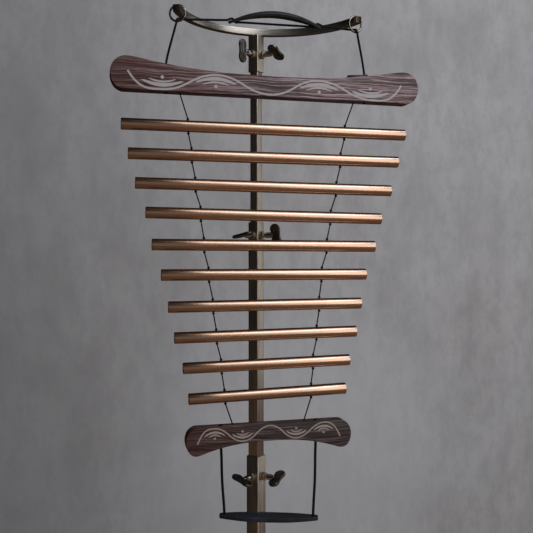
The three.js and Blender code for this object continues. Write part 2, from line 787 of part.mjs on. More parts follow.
const clamps = {
  sleeve: { size: sleeveSize, height: sleeveClamp },
  mid: { size: midMastSize, height: midClamp },
  lower: { size: lowerMastSize, height: lowerClamp },
};
for (const [place, { size, height }] of Object.entries(clamps)) {
  for (const side of sides) {
    const name = `${place}_${sideNames[side]}`;
    const turn = wingTurnsDeg[place][sideNames[side]];
    addPart(`${name}_boss`, onFace(side, height, boss(size)), darkIron);
    addPart(`${name}_wing_bolt`, onFace(side, height, wingBolt(size, turn)), darkIron);
  }
}

// Socket: a short square tube with a floor, in which the lower mast stands
const socketBlank = new THREE.ExtrudeGeometry(roundedSquare(socketSize, mastCornerRadius), {
  depth: socketHeight,
  bevelEnabled: false,
  curveSegments: cornerSteps,
});
const pocketSize = lowerMastSize + 2 * clearance;
const socketPocket = new THREE.BoxGeometry(pocketSize, pocketSize, socketHeight);
socketPocket.translate(0, 0, socketFloor + socketHeight / 2);
const socket = cut(socketBlank, [socketPocket]).rotateZ(mastTurn).translate(0, 0, socketRise);
addPart("base_socket", socket, bronzed);

// Legs: square tubes that slope from the socket's faces to the floor, each end in a rubber shoe
const legSlope = Math.tan(rad(legSlopeDeg));
const legStart = socketSize / 2 + clearance;
const legEnd = legStart + legLength;
const legEndHeight = shoeSole + clearance + legSize / 2;

// A square bar along +X whose height falls with the leg's slope, its ends left upright
function slopedBar(section, from, to) {
  const geometry = new THREE.ExtrudeGeometry(section, {
    depth: to - from,
    bevelEnabled: false,
    curveSegments: cornerSteps,
  });
  geometry.translate(0, 0, from).rotateX(Math.PI / 2).rotateZ(Math.PI / 2);
  const fall = new THREE.Matrix4().makeShear(0, -legSlope, 0, 0, 0, 0);
  return geometry.applyMatrix4(fall).translate(0, 0, legEndHeight + legSlope * legEnd);
}

function legTube() {
  const section = roundedSquare(legSize, mastCornerRadius);
  section.holes.push(roundedSquare(legSize - 2 * legWall, mastCornerRadius / 2));
  return slopedBar(section, legStart, legEnd);
}

function shoe() {
  const pocket = slopedBar(
    roundedSquare(legSize + 2 * clearance, mastCornerRadius),
    legEnd - shoeLength - overrun,
    legEnd + clearance,
  );
  const width = legSize + 2 * (clearance + shoeWall);
  const length = shoeLength + clearance + shoeWall;
  const block = new THREE.BoxGeometry(length, width, shoeHeight);
  block.translate(legEnd - shoeLength + length / 2, 0, shoeHeight / 2);
  return cut(block, [pocket]);
}

const quarterNames = ["front_right", "back_right", "back_left", "front_left"];
quarterNames.forEach((name, i) => {
  const turn = (i * Math.PI) / 2 - mastTurn;
  addPart(`${name}_leg`, legTube().rotateZ(turn), bronzed);
  addPart(`${name}_shoe`, shoe().rotateZ(turn), rubber);
});

export default root;
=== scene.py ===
"""A ladder of ten tuned tubes between two inlaid walnut bars, hung by cord from the bow of a
telescoping floor stand. Sizes are in millimetres, turned to metres where a shape is made.
The mast stands on the Z axis, the floor is at height 0 and the front faces -Y."""

from math import atan2, cos, pi, radians, sin, sqrt, tan

import bmesh
import bpy
from mathutils import Matrix, Vector


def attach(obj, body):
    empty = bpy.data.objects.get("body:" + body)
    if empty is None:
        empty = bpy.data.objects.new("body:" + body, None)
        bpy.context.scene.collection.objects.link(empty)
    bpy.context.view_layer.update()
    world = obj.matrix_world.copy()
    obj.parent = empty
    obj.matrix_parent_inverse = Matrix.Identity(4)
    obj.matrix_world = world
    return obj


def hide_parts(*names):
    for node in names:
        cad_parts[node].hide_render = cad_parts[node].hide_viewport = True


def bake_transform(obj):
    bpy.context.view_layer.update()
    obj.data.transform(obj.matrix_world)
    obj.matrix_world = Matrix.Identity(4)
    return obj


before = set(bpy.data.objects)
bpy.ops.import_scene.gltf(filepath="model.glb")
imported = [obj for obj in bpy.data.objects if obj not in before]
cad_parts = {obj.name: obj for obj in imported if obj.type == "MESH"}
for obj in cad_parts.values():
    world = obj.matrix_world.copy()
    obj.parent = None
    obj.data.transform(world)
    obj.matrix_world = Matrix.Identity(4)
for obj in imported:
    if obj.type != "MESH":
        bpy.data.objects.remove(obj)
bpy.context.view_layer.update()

# Camera: a standing viewer a little left of the set, at the height of its middle, looking
# across the tubes toward the mast.
eye = Vector((-239.8, -1193.2, 960)) / 1000
gaze_down, gaze_right = radians(0.68), radians(12.11)
camera_data = bpy.data.cameras.new("viewer")
camera_data.lens, camera_data.sensor_width = 54.03, 36
camera = bpy.data.objects.new("viewer", camera_data)
camera.location = eye
camera.rotation_euler = (pi / 2 - gaze_down, 0, -gaze_right)
bpy.context.scene.collection.objects.link(camera)
bpy.context.scene.camera = camera


# Cords and strings: black braided cord carries the bars and grips, and a thinner black string
# carries the tubes. The finish reads each strand's own lengthwise map, so that the braid
# follows every bend.
even = (1, 1, 1)


class Signal:
    """A number or colour that changes over a surface; arithmetic on it adds the nodes."""

    def __init__(self, finish, socket):
        self.finish, self.socket = finish, socket

    def math(self, operation, *others):
        inputs = dict(enumerate((self, *others)))
        return self.finish.node("ShaderNodeMath", {"operation": operation}, inputs)

    def __add__(self, other):
        return self.math("ADD", other)

    def __sub__(self, other):
        return self.math("SUBTRACT", other)

    def __mul__(self, other):
        return self.math("MULTIPLY", other)

    __radd__ = __add__
    __rmul__ = __mul__

    def ramp(self, low, high, to_low=0.0, to_high=1.0):
        """The signal between two levels, eased to between two others."""
        settings = {"interpolation_type": "SMOOTHSTEP"}
        inputs = {0: self, 1: low, 2: high, 3: to_low, 4: to_high}
        return self.finish.node("ShaderNodeMapRange", settings, inputs)

    def axis(self, name):
        return self.finish.node("ShaderNodeSeparateXYZ", {}, {0: self}, output=name)


class Finish:
    """A surface finish: even values are set on its shader, and signals are fed to it."""

    def __init__(self, name, values):
        self.material = bpy.data.materials.new(name)
        self.material.use_nodes = True
        self.tree = self.material.node_tree
        self.shader = next(n for n in self.tree.nodes if n.type == "BSDF_PRINCIPLED")
        for socket, value in values.items():
            self.feed(socket, value)

    def put(self, socket, value):
        """Sets a socket: a colour is given by its plain screen values, 0 to 255."""
        if isinstance(value, Signal):
            self.tree.links.new(value.socket, socket)
        elif socket.type == "RGBA":
            linear = (((level / 255 + 0.055) / 1.055) ** 2.4 for level in value)
            socket.default_value = (*linear, 1)
        else:
            socket.default_value = value

    def feed(self, socket, value):
        self.put(self.shader.inputs[socket], value)

    def look(self, colour, roughness):
        self.feed("Base Color", colour)
        self.feed("Roughness", roughness)

    def node(self, kind, settings=None, inputs=None, output=0):
        made = self.tree.nodes.new(kind)
        for key, value in (settings or {}).items():
            setattr(made, key, value)
        for key, value in (inputs or {}).items():
            self.put(made.inputs[key], value)
        return Signal(self, made.outputs[output])

    def place(self, stretch=even, kind="Object"):
        """Where a point lies, in metres, stretched along each axis."""
        here = self.node("ShaderNodeTexCoord", output=kind)
        return self.node("ShaderNodeMapping", {}, {"Vector": here, "Scale": stretch})

    def noise(self, where, scale, detail=3.0, rough=0.5):
        """Noise over a signal, or over the piece with its axes stretched."""
        where = where if isinstance(where, Signal) else self.place(where)
        inputs = {"Vector": where, "Scale": scale, "Detail": detail, "Roughness": rough}
        return self.node("ShaderNodeTexNoise", {}, inputs)

    def mix(self, share, first, second):
        made = self.tree.nodes.new("ShaderNodeMix")
        made.data_type = "RGBA"
        self.put(made.inputs[0], share)
        self.put(made.inputs[6], first)
        self.put(made.inputs[7], second)
        return Signal(self, made.outputs[2])

    def relief(self, height, depth):
        """Raises the surface by a signal of 0 to 1, to a depth in metres."""
        self.feed("Normal", self.node("ShaderNodeBump", {}, {"Height": height, "Distance": depth}))


def braid_finish(name, plaits):
    finish = Finish(name, {"Roughness": 0.7, "Specular IOR Level": 0.2})
    along = finish.place(kind="UV")
    left = ((along.axis("X") * plaits + along.axis("Y")) * (2 * pi)).math("SINE")
    right = ((along.axis("X") * plaits - along.axis("Y")) * (2 * pi)).math("SINE")
    weave = left.math("MAXIMUM", right).ramp(-0.2, 1.0)
    fuzz = finish.noise(even, 2500, 2)
    # Painted shade: the grooves between the plaits are darker than the raised plaits, and fine
    # fuzz varies the black at random.
    black = finish.mix(weave * fuzz, (6, 6, 7), (27, 26, 27))
    finish.feed("Base Color", black)
    finish.relief(weave + fuzz * 0.3, 0.0003)
    return finish


cord_finish = braid_finish("black_braided_cord", 6)
string_finish = braid_finish("black_tube_string", 4)

cord_radius, cord_hole_radius, cord_knot_radius, cord_knot_length = 1.6, 2.5, 3.4, 5.5
knot_seat_radius, knot_seat_depth = 4, 5
string_radius, string_hole_radius, string_knot_radius, string_knot_length = 0.9, 1.45, 2, 3.2
string_tie = (string_radius, string_knot_radius, string_knot_length)
clearance = 0.3


def hermite(t):
    """The weights of two ends and their two slopes, part of the way between them."""
    return 2 * t**3 - 3 * t**2 + 1, t**3 - 2 * t**2 + t, 3 * t**2 - 2 * t**3, t**3 - t**2


def placed(spot, degrees, axis):
    """A place in millimetres, turned about an axis."""
    return Matrix.Translation(spot) @ Matrix.Rotation(radians(degrees), 4, axis)


def eased(points, step=1.5):
    """A line through the given points, rounded where it turns."""
    line = [points[0]]
    ends = [points[0], *points, points[-1]]
    for before, start, end, after in zip(ends, ends[1:], ends[2:], ends[3:]):
        pull = (end - start).length
        lead = (end - before).normalized() * pull
        trail = (after - start).normalized() * pull
        count = max(1, round(pull / step))
        for k in range(1, count + 1):
            a, b, c, d = hermite(k / count)
            line.append(start * a + lead * b + end * c + trail * d)
    return line


def knot(point, direction, core, outer, length, turns=2.4):
    """The coils of a tight knot, drawn round a strand from a point on."""
    direction = direction.normalized()
    side = direction.cross(Vector((0.3, 1, 0.2))).normalized()
    other = direction.cross(side)
    bead = (outer - core) * 0.62
    coils = []
    steps = round(turns * 14)
    for k in range(steps + 1):
        share = k / steps
        angle = 2 * pi * turns * share
        swing = outer - bead - (0.35 * core if k in (0, steps) else 0)
        along = bead + (length - 2 * bead) * share
        spoke = side * cos(angle) + other * sin(angle)
        coils.append(point + direction * along + spoke * swing)
    return coils, bead


def strand_piece(name, runs, finish, sides=12):
    """One mesh of round strands, each a line of points in millimetres and its radius."""
    mesh = bmesh.new()
    layer = mesh.loops.layers.uv.new("lengthwise")
    for points, radius in runs:
        rings, marks, distance = [], [], 0.0
        spoke = None
        for i, point in enumerate(points):
            before, after = points[max(i - 1, 0)], points[min(i + 1, len(points) - 1)]
            heading = (after - before).normalized()
            if spoke is None:
                spoke = heading.cross(Vector((0.2, 1, 0.1))).normalized()
            spoke = (spoke - heading * spoke.dot(heading)).normalized()
            other = heading.cross(spoke)
            distance += (point - before).length if i else 0
            ring = []
            for k in range(sides):
                angle = 2 * pi * k / sides
                corner = point + (spoke * cos(angle) + other * sin(angle)) * radius
                ring.append(mesh.verts.new(corner / 1000))
            rings.append(ring)
            marks.append(distance / (radius * 3.6))
        for i in range(len(rings) - 1):
            for k in range(sides):
                n = (k + 1) % sides
                near, far = rings[i], rings[i + 1]
                face = mesh.faces.new((near[k], near[n], far[n], far[k]))
                corners = ((k, i), (k + 1, i), (k + 1, i + 1), (k, i + 1))
                for loop, (across, along) in zip(face.loops, corners):
                    loop[layer].uv = (across / sides, marks[along])
                face.smooth = True
        mesh.faces.new(list(reversed(rings[0])))
        mesh.faces.new(rings[-1])
    data = bpy.data.meshes.new(name)
    bmesh.ops.recalc_face_normals(mesh, faces=mesh.faces)
    mesh.to_mesh(data)
    mesh.free()
    data.materials.append(finish.material)
    piece = bpy.data.objects.new(name, data)
    bpy.context.scene.collection.objects.link(piece)
    return piece


# The bow, rings and grips set where the hanging cord runs, so their places come first here.
bow_radius, bow_height, bow_section = 136, 1300, 10
ring_angle = radians(70)
ring_wire, ring_inside, notch_depth = 3, 19, 2.5
front = -bow_radius * (1 - cos(ring_angle))
ring_reach = bow_radius * sin(ring_angle)
ring_hole = ring_inside / 2
ring_radius = ring_hole + ring_wire / 2
ring_seat = bow_section / 2 - notch_depth
ring_drop = ring_seat - sqrt((ring_hole - clearance) ** 2 - (bow_section / 2) ** 2)
crossing = bow_height + ring_drop - ring_hole + cord_radius + clearance
top_bar_height = 1183.8
top_bar_place = placed((0, front, top_bar_height), 0.6, "Y")
arch_length, arch_rise, arch_sink, arch_thickness = 131.5, 15, 2.5, 3.6
arch_hole, arch_shift = arch_length / 2 - 7, 9.5
arch_place = placed((arch_shift, front, crossing), 9, "X")
suspension_reach = {-1: 144, 1: 141}
suspension_rise = {-1: 38.9, 1: 38.5}
side_names = {-1: "left", 1: "right"}


def arch_underside(reach):
    return arch_rise * (1 - (2 * reach / arch_length) ** 2) - arch_sink


def arch_point(side, outward, up):
    """A point along and across the leather, from the middle of a grip hole."""
    slope = -8 * arch_rise * arch_hole / arch_length**2
    along = Vector((1, 0, slope)).normalized()
    across = Vector((-slope, 0, 1)).normalized()
    middle = Vector((arch_hole, 0, arch_underside(arch_hole) + arch_thickness / 2))
    point = middle + along * outward + across * up
    point.x *= side
    return point


# The cord's way up through a ring and over it, and down through the leather of the grip.
ring_climb = ((1, 0.3, -0.8), (0.97, 0.15, 0.25), (0.71, 0, 0.72), (0.26, 0, 1))
ring_climb += ((-0.22, -0.35, 1.03), (-0.7, -1, 1.03), (-1.1, -2, 1.03), (-1.5, -3.1, 1.03))
grip_dive = ((2.4, 1.04), (1.3, 1.06), (0.65, 1.02), (0.24, 0.76), (0.03, 0.38), (0, 0))
grip_dive += ((-0.03, -0.38), (-0.24, -0.76), (-0.65, -1.02), (-1.3, -1.1))
for side, name in side_names.items():
    up = (top_bar_place.to_3x3() @ Vector((0, 0, 1))).normalized()
    seat_rise = knot_seat_depth - clearance
    rises = (seat_rise - cord_knot_length - 0.8, seat_rise, 14, suspension_rise[side] + 2)
    reach = side * suspension_reach[side]
    line = [top_bar_place @ Vector((reach, 0, rise)) for rise in rises]
    wrap = ring_wire / 2 + cord_radius + clearance
    ring_spot = Vector((side * ring_reach, front, bow_height))
    for across, outward, rise in ring_climb:
        station = Vector((side * across, outward, rise)) * wrap
        station.z += ring_drop - ring_radius
        station.rotate(Matrix.Rotation(-side * ring_angle, 3, "Z"))
        line.append(station + ring_spot)
    lift = arch_thickness / 2 + cord_radius + clearance
    dive = [arch_place @ arch_point(side, out * lift, rise * lift) for out, rise in grip_dive]
    middle = line[-1].lerp(dive[0], 0.5)
    drop_line = eased([*line, middle])
    dive_line = eased([middle, *dive, Vector((arch_shift, *dive[-1].yz))])
    coils, bead = knot(line[1], -up, cord_radius, cord_knot_radius, cord_knot_length)
    runs = [(drop_line, cord_radius), (eased(coils, 1), bead)]
    drop = strand_piece(f"{name}_hanging_cord", runs, cord_finish)
    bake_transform(drop)
    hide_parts("hanging_cord")
    crossing_cord = strand_piece(f"{name}_crossing_cord", [(dive_line, cord_radius)], cord_finish)
    grip_end = dive[5] / 1000
    middle / 1000
    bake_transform(crossing_cord)
    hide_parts("hanging_cord")

# Tubes: copper-coloured drawn tube, cut to length, faced at the ends and drilled through both
# walls where a free bar rests. Each hangs in the string between the knots above and below it.
tube_radius, tube_wall = 8, 1.5
longest, mean_pitch, first_drop, last_drop = 408, 41.5, 44.3, 41.1
length_shares = (1, 0.951, 0.901, 0.83, 0.786, 0.722, 0.68, 0.642, 0.588, 0.555)
pitch_shares = (0.958, 0.987, 0.977, 1.012, 0.988, 1.037, 1.004, 1.004, 1.012)
tube_lengths = [longest * share for share in length_shares]
tube_pitches = [mean_pitch * share for share in pitch_shares]
tube_tilts = (0.4, 0.4, 0.7, 0.9, 0.3, 0, -0.5, -1, -1.4, -2)
tube_shifts = (-0.9, -1.5, -2.1, -2.6, -3.1, -3.6, -2.4, -1.9, -1.1, -0.1)
tube_heights = [top_bar_height - first_drop]
for pitch in tube_pitches:
    tube_heights.append(tube_heights[-1] - pitch)
tube_places = [
    placed((shift, front, height), tilt, "Y")
    for shift, height, tilt in zip(tube_shifts, tube_heights, tube_tilts)
]
rest_point, bore_margin = 0.276, 5


def leave():
    bpy.ops.object.mode_set(mode="OBJECT")


def activate(piece):
    bpy.ops.object.select_all(action="DESELECT")
    piece.select_set(True)
    bpy.context.view_layer.objects.active = piece


def primitive(operator, name, **shape):
    """A piece that an operator adds, with nothing else selected."""
    bpy.ops.object.select_all(action="DESELECT")
    operator(**shape)
    bpy.context.object.name = name
    return bpy.context.object


def everything(part):
    return True


def pick(piece, kind, chosen=everything):
    """Edit mode on a piece, with only those of its parts selected that are chosen."""
    if bpy.context.mode != "OBJECT":
        leave()
    activate(piece)
    bpy.ops.object.mode_set(mode="EDIT")
    bpy.ops.mesh.select_mode(type=kind)
    bpy.ops.mesh.select_all(action="DESELECT")
    mesh = bmesh.from_edit_mesh(piece.data)
    for part in {"VERT": mesh.verts, "EDGE": mesh.edges, "FACE": mesh.faces}[kind]:
        if chosen(part):
            part.select_set(True)
    mesh.select_flush_mode()
    bmesh.update_edit_mesh(piece.data)


def weld(piece):
    """Joins corners that meet and turns the faces outward."""
    pick(piece, "VERT")
    bpy.ops.mesh.remove_doubles(threshold=1e-6)
    bpy.ops.mesh.normals_make_consistent(inside=False)
    leave()


def bake():
    """Applies the active piece's place to its mesh."""
    bpy.ops.object.transform_apply(location=True, rotation=True, scale=True)


def set_at(piece, place):
    piece.matrix_world = Matrix.Translation(place.translation / 1000) @ place.to_3x3().to_4x4()


def settle(piece, finish, smooth=32):
    """Bakes a finished piece, smooths it and gives it its finish, if it has none."""
    activate(piece)
    bake()
    bpy.ops.object.shade_smooth_by_angle(angle=radians(smooth))
    if finish:
        piece.data.materials.clear()
        piece.data.materials.append(finish.material)


def apply_modifiers(piece):
    bpy.context.view_layer.objects.active = piece
    for modifier in list(piece.modifiers):
        bpy.ops.object.modifier_apply(modifier=modifier.name)


def bore(piece, drills):
    """Cuts holes through a piece and removes the drills."""
    for drill in drills:
        cutter = piece.modifiers.new("bore", "BOOLEAN")
        cutter.operation, cutter.object = "DIFFERENCE", drill
        apply_modifiers(piece)
        bpy.data.objects.remove(drill)


def cylinder(name, sides, radius, length, turn):
    shape = {"vertices": sides, "radius": radius / 1000, "depth": length / 1000}
    return primitive(bpy.ops.mesh.primitive_cylinder_add, name, rotation=turn, **shape)


def drill(radius, place, length, turn=(0, 0, 0)):
    made = cylinder("drill", 24, radius, length, turn)
    made.location = Vector(place) / 1000
    return made


def pipe(name, radius, wall, length, sides=72, rim=0.35):
    """A round tube along X, centred on the origin, with eased rims."""
    made = cylinder(name, sides, radius, length, (0, pi / 2, 0))
    bake()
    pick(made, "FACE", lambda face: abs(face.normal.x) > 0.9)
    bpy.ops.mesh.inset(thickness=wall / 1000, use_even_offset=True)
    pick(made, "FACE", lambda face: len(face.verts) == sides)
    bpy.ops.mesh.bridge_edge_loops()
    reach = length / 2000 - 1e-6
    pick(made, "EDGE", lambda edge: ring_edge(edge, reach))
    bpy.ops.mesh.bevel(offset=rim / 1000, segments=2)
    leave()
    return made


def ring_edge(edge, reach):
    """True for an edge of an end rim, and not for a spoke between the two rims."""
    first, second = (v.co for v in edge.verts)
    level = abs(first.x) > reach and abs(second.x) > reach and first.x * second.x > 0
    return level and abs(Vector(first.yz).length - Vector(second.yz).length) < 1e-5


copper = Finish(
    "copper_anodised_tube",
    {"Metallic": 1.0, "Coat Weight": 1.0, "Coat Roughness": 0.12, "Coat IOR": 1.8},
)
drawn = copper.noise((2.5, 60, 60), 6, 1)
clouds = copper.noise((5, 18, 18), 3, 2)
tint = copper.mix(drawn.ramp(0.3, 0.7), (181, 142, 112), (187, 149, 120))
tint = copper.mix(clouds.ramp(0.35, 0.7, 0, 0.35), tint, (166, 113, 85))
copper.look(tint, drawn.ramp(0.3, 0.7, 0.26, 0.28))

for i, length in enumerate(tube_lengths):
    number = f"tube_{i + 1:02d}"
    tube = pipe(f"chime_{number}", tube_radius, tube_wall, length)
    rests = [side * rest_point * length for side in side_names]
    for rest in rests:
        for reach in (rest - bore_margin, rest + bore_margin):
            pick(tube, "FACE")
            bpy.ops.mesh.bisect(plane_co=(reach / 1000, 0, 0), plane_no=(1, 0, 0))
            leave()
    bore(tube, [drill(string_hole_radius, (rest, 0, 0), 30) for rest in rests])
    set_at(tube, tube_places[i])
    settle(tube, copper)
    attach(tube, number)
    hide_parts(number)

# Strings: one a side, from the top bar through all ten tubes to the bottom bar, with a knot
# above and below every tube. Each span is a piece of its own, from where it leaves the piece
# above.
top_string_reach, bottom_string_reach = 125, 51.5
bottom_bar_place = placed((0, front, tube_heights[-1] - last_drop), -0.9, "Y")
for side, name in side_names.items():
    leaving = top_bar_place @ Vector((side * top_string_reach, 0, 0))
    parent = "top_bar"
    inside = top_bar_place @ Vector((side * top_string_reach, 0, 10))
    for i in range(11):
        if i < 10:
            reach = side * rest_point * tube_lengths[i]
            arriving = tube_places[i] @ Vector((reach, 0, tube_radius + clearance))
            beyond = tube_places[i] @ Vector((reach, 0, -tube_radius - clearance))
            child = f"tube_{i + 1:02d}"
        else:
            arriving = bottom_bar_place @ Vector((side * bottom_string_reach, 0, 0))
            beyond = bottom_bar_place @ Vector((side * bottom_string_reach, 0, -10))
            child = "bottom_bar"
        down = (arriving - leaving).normalized()
        line = [inside] if i == 0 else []
        line += [leaving, *(leaving.lerp(arriving, k / 8) for k in range(1, 8)), arriving, beyond]
        runs = [(line, string_radius)]
        for spot, heading, tied in ((leaving, down, i > 0), (arriving, -down, i < 10)):
            if tied:
                runs.append(knot(spot, heading, *string_tie))
        span = strand_piece(f"{name}_string_{i + 1:02d}", runs, string_finish, 10)
        hinge = leaving / 1000
        hinge + down * 0.006
        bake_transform(span)
        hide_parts(f"{name}_string")
        leaving, parent = beyond, child

# Wooden bars: oiled walnut sawn to a straight edge and a hollow edge with swollen ends, the
# arrises eased by sanding, and drilled upright for the cords and strings.
bar_thickness, bar_arris = 22, 0.9


def wood_finish(name, dark, warm, pale, seed):
    finish = Finish(name, {"Specular IOR Level": 0.32})
    here = finish.place()
    drift = finish.noise((6, 10, 10), 2, 3) * 0.014
    across = here.axis("Z") + here.axis("Y") * 0.5 + drift + seed

    def grain(along, over, detail=3.0):
        where = {0: here.axis("X") * along, 1: across * over}
        return finish.noise(finish.node("ShaderNodeCombineXYZ", {}, where), 1, detail, 0.6)

    bands, lines, fibres = grain(7, 150), grain(11, 560), grain(60, 1100)
    pores = grain(110, 2600, 2).ramp(0.58, 0.7)
    colour = finish.mix(bands.ramp(0.36, 0.62), warm, pale)
    colour = finish.mix(fibres.ramp(0.42, 0.62, 0, 0.45), colour, dark)
    colour = finish.mix(lines.ramp(0.5, 0.43, 0, 0.6), colour, dark)
    rings = (grain(4, 290, 2) - 0.5).math("ABSOLUTE").ramp(0.02, 0.1, 0.9, 0)
    colour = finish.mix(rings, colour, dark)
    colour = finish.mix(pores * 0.5, colour, dark)
    # Painted shade: each bar grows darker from just right of its middle to its left end, where
    # less light falls.
    colour = finish.mix(here.axis("X").ramp(-0.2, 0.04, 0.65, 0), colour, (70, 31, 20))
    finish.look(colour, fibres.ramp(0.3, 0.7, 0.36, 0.5))
    finish.relief(fibres * 0.5 + pores * -0.8, 0.0001)
    return finish


def bar_points(length, waist, swell, inset):
    """Corner points of half a bar's outline, each with its handles, from its foot to its waist."""
    half = length / 2
    foot = Vector((half - 0.38 * swell, 0))
    corner = Vector((half - 0.05 * swell, 0.06 * swell))
    widest = Vector((half, 0.46 * swell))
    crown = Vector((half - inset, swell))
    middle = Vector((0, waist))
    return [
        (foot, None, foot.lerp(corner, 2 / 3)),
        (widest, widest.lerp(corner, 2 / 3), Vector((half, 0.78 * swell))),
        (crown, Vector((half - 0.38 * inset, 1.02 * swell)), Vector((0.82 * half, swell))),
        (middle, Vector((0.55 * half, 0.94 * waist)), None),
    ]


def mirrored(point):
    return Vector((-point.x, point.y))


def flat_curve(name, thickness, arris=0):
    """A flat curve piece that gives its outlines a thickness and eased edges."""
    made = primitive(bpy.ops.curve.primitive_bezier_curve_add, name)
    curve = made.data
    curve.dimensions, curve.fill_mode = "2D", "BOTH"
    curve.extrude = (thickness / 2 - arris) / 1000
    curve.bevel_depth, curve.bevel_resolution, curve.offset = arris / 1000, 3, -arris / 1000
    return made


def as_mesh():
    bpy.ops.object.convert(target="MESH")
    return bpy.context.object


def wooden_bar(body, sizes, place, up, string_reach, cord_reaches, seat, shades, seed):
    """A bar cut to a closed outline of corners and handles, and drilled."""
    name = f"walnut_{body}"
    half = bar_points(*sizes)
    middle, lead, _ = half[-1]
    corners = half[:-1] + [(middle, lead, mirrored(lead))]
    for spot, lead, trail in half[-2::-1]:
        corners.append((mirrored(spot), trail and mirrored(trail), lead and mirrored(lead)))
    curve = flat_curve(name, bar_thickness, bar_arris).data
    curve.resolution_u = 20
    spline = curve.splines[0]
    spline.use_cyclic_u = True
    spline.bezier_points.add(len(corners) - 2)
    for point, (spot, lead, trail) in zip(spline.bezier_points, corners):
        point.handle_left_type = point.handle_right_type = "FREE"
        point.co = (spot / 1000).to_3d()
        point.handle_left = ((lead or spot) / 1000).to_3d()
        point.handle_right = ((trail or spot) / 1000).to_3d()
    bar = as_mesh()
    weld(bar)
    bar.rotation_euler = (up * pi / 2, 0, 0)
    bake()
    drills = [drill(string_hole_radius, (side * string_reach, 0, 0), 24) for side in side_names]
    for reach in cord_reaches:
        drills.append(drill(cord_hole_radius, (reach, 0, up * 20), 80))
        drills.append(drill(seat[0], (reach, 0, 0), 2 * seat[1]))
    bore(bar, drills)
    set_at(bar, place)
    settle(bar, wood_finish(name, *shades, seed), 40)
    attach(bar, body)
    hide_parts(body)


handle_seat_radius, handle_seat_depth, handle_top_reach = 3.6, 2.2, 68.5
wooden_bar(
    "top_bar", (440, 28.9, 45.2, 24), top_bar_place, 1, top_string_reach,
    [side * suspension_reach[side] for side in side_names],
    (knot_seat_radius, knot_seat_depth),
    ((36, 24, 22), (149, 113, 109), (193, 164, 167)), 0.0,
)
wooden_bar(
    "bottom_bar", (237, 23.5, 39, 15.5), bottom_bar_place, -1, bottom_string_reach,
    [side * handle_top_reach for side in side_names],
    (handle_seat_radius, handle_seat_depth),
    ((30, 21, 21), (92, 71, 68), (131, 107, 105)), 0.31,
)

# Inlay: a pale waving line along the front face of each bar, with a pair of crescents and a dot
# in its bends, let in flush and sanded with the wood.


def mottled(name, values, stretch, grain, shades, low, smooth, rough):
    """A finish of two shades and two roughnesses that follow one noise, and that noise."""
    finish = Finish(name, values)
    spots = finish.noise(stretch, *grain)
    finish.look(finish.mix(spots, *shades), spots.ramp(low, 0.7, smooth, rough))
    return finish, spots


def wave_line(knots, width):
    """The closed edge of a line of even width that waves through the given points."""
    line, stations = [], [knots[0]]
    for (x0, y0, s0), (x1, y1, s1) in zip(knots, knots[1:]):
        if s0 == s1 == 0:
            stations.append(((x0 + x1) / 2, (y0 + y1) / 2, 2 * (y1 - y0) / (x1 - x0)))
        stations.append((x1, y1, s1))
    knots = stations
    for (x0, y0, s0), (x1, y1, s1) in zip(knots, knots[1:]):
        span = x1 - x0
        for k in range(12):
            a, b, c, d = hermite(k / 12)
            height = a * y0 + b * span * s0 + c * y1 + d * span * s1
            line.append(Vector((x0 + span * k / 12, height)))
    line.append(Vector(knots[-1][:2]))
    left, right = [], []
    for i, point in enumerate(line):
        heading = (line[min(i + 1, len(line) - 1)] - line[max(i - 1, 0)]).normalized()
        normal = Vector((-heading.y, heading.x)) * width / 2
        left.append(point + normal)
        right.append(point - normal)
    return left + right[::-1]


def crescent(centre, half, chord, outer, inner, bend):
    """A crescent between two arcs that end on one chord, its belly down or up with the bend."""
    shape = []
    for reach, sag, order in ((half, outer, 1), (half * 0.84, inner, -1)):
        radius = (reach**2 + sag**2) / (2 * sag)
        spread = atan2(reach, radius - sag)
        for k in range(17):
            angle = order * spread * (k / 8 - 1)
            height = chord - bend * (radius * cos(angle) - radius + sag)
            shape.append(Vector((centre + radius * sin(angle), height)))
    return shape


def dot(centre, height, radius):
    turns = [2 * pi * k / 20 for k in range(20)]
    return [Vector((centre + radius * cos(a), height + radius * sin(a))) for a in turns]


def cut_out(curve, outlines):
    """Fills a flat curve piece with closed outlines and makes it a mesh."""
    splines = curve.data.splines
    splines.clear()
    for outline in outlines:
        spline = splines.new("POLY")
        spline.points.add(len(outline) - 1)
        spline.use_cyclic_u = True
        for point, spot in zip(spline.points, outline):
            point.co = (spot.x / 1000, spot.y / 1000, 0, 1)
    return as_mesh()


def inlay(body, place, wave, width, bends, arcs, spot, colour, shades):
    """A waving line, with its crescents and a dot in each bend, cut from thin sheet and set in
    the front face of a bar."""
    outlines = [wave_line(wave, width)]
    middle, lift, radius = spot
    for centre, bend in bends:
        for half, chord, rise, outer, inner in arcs:
            outlines.append(crescent(centre, half, chord + rise * bend, outer, inner, bend))
        outlines.append(dot(centre, middle + lift * bend, radius))
    made = cut_out(flat_curve(f"{body}_inlay", inlay_thickness), outlines)
    made.rotation_euler = (pi / 2, 0, 0)
    made.location.y = (inlay_depth - bar_thickness / 2) / 1000
    bake()
    set_at(made, place)
    plain, grain = {"Specular IOR Level": 0.3}, (6, 4)
    finish, _ = mottled(f"{colour}_inlay", plain, (30, 60, 300), grain, shades, 0.3, 0.45, 0.6)
    settle(made, finish, 20)
    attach(made, body)


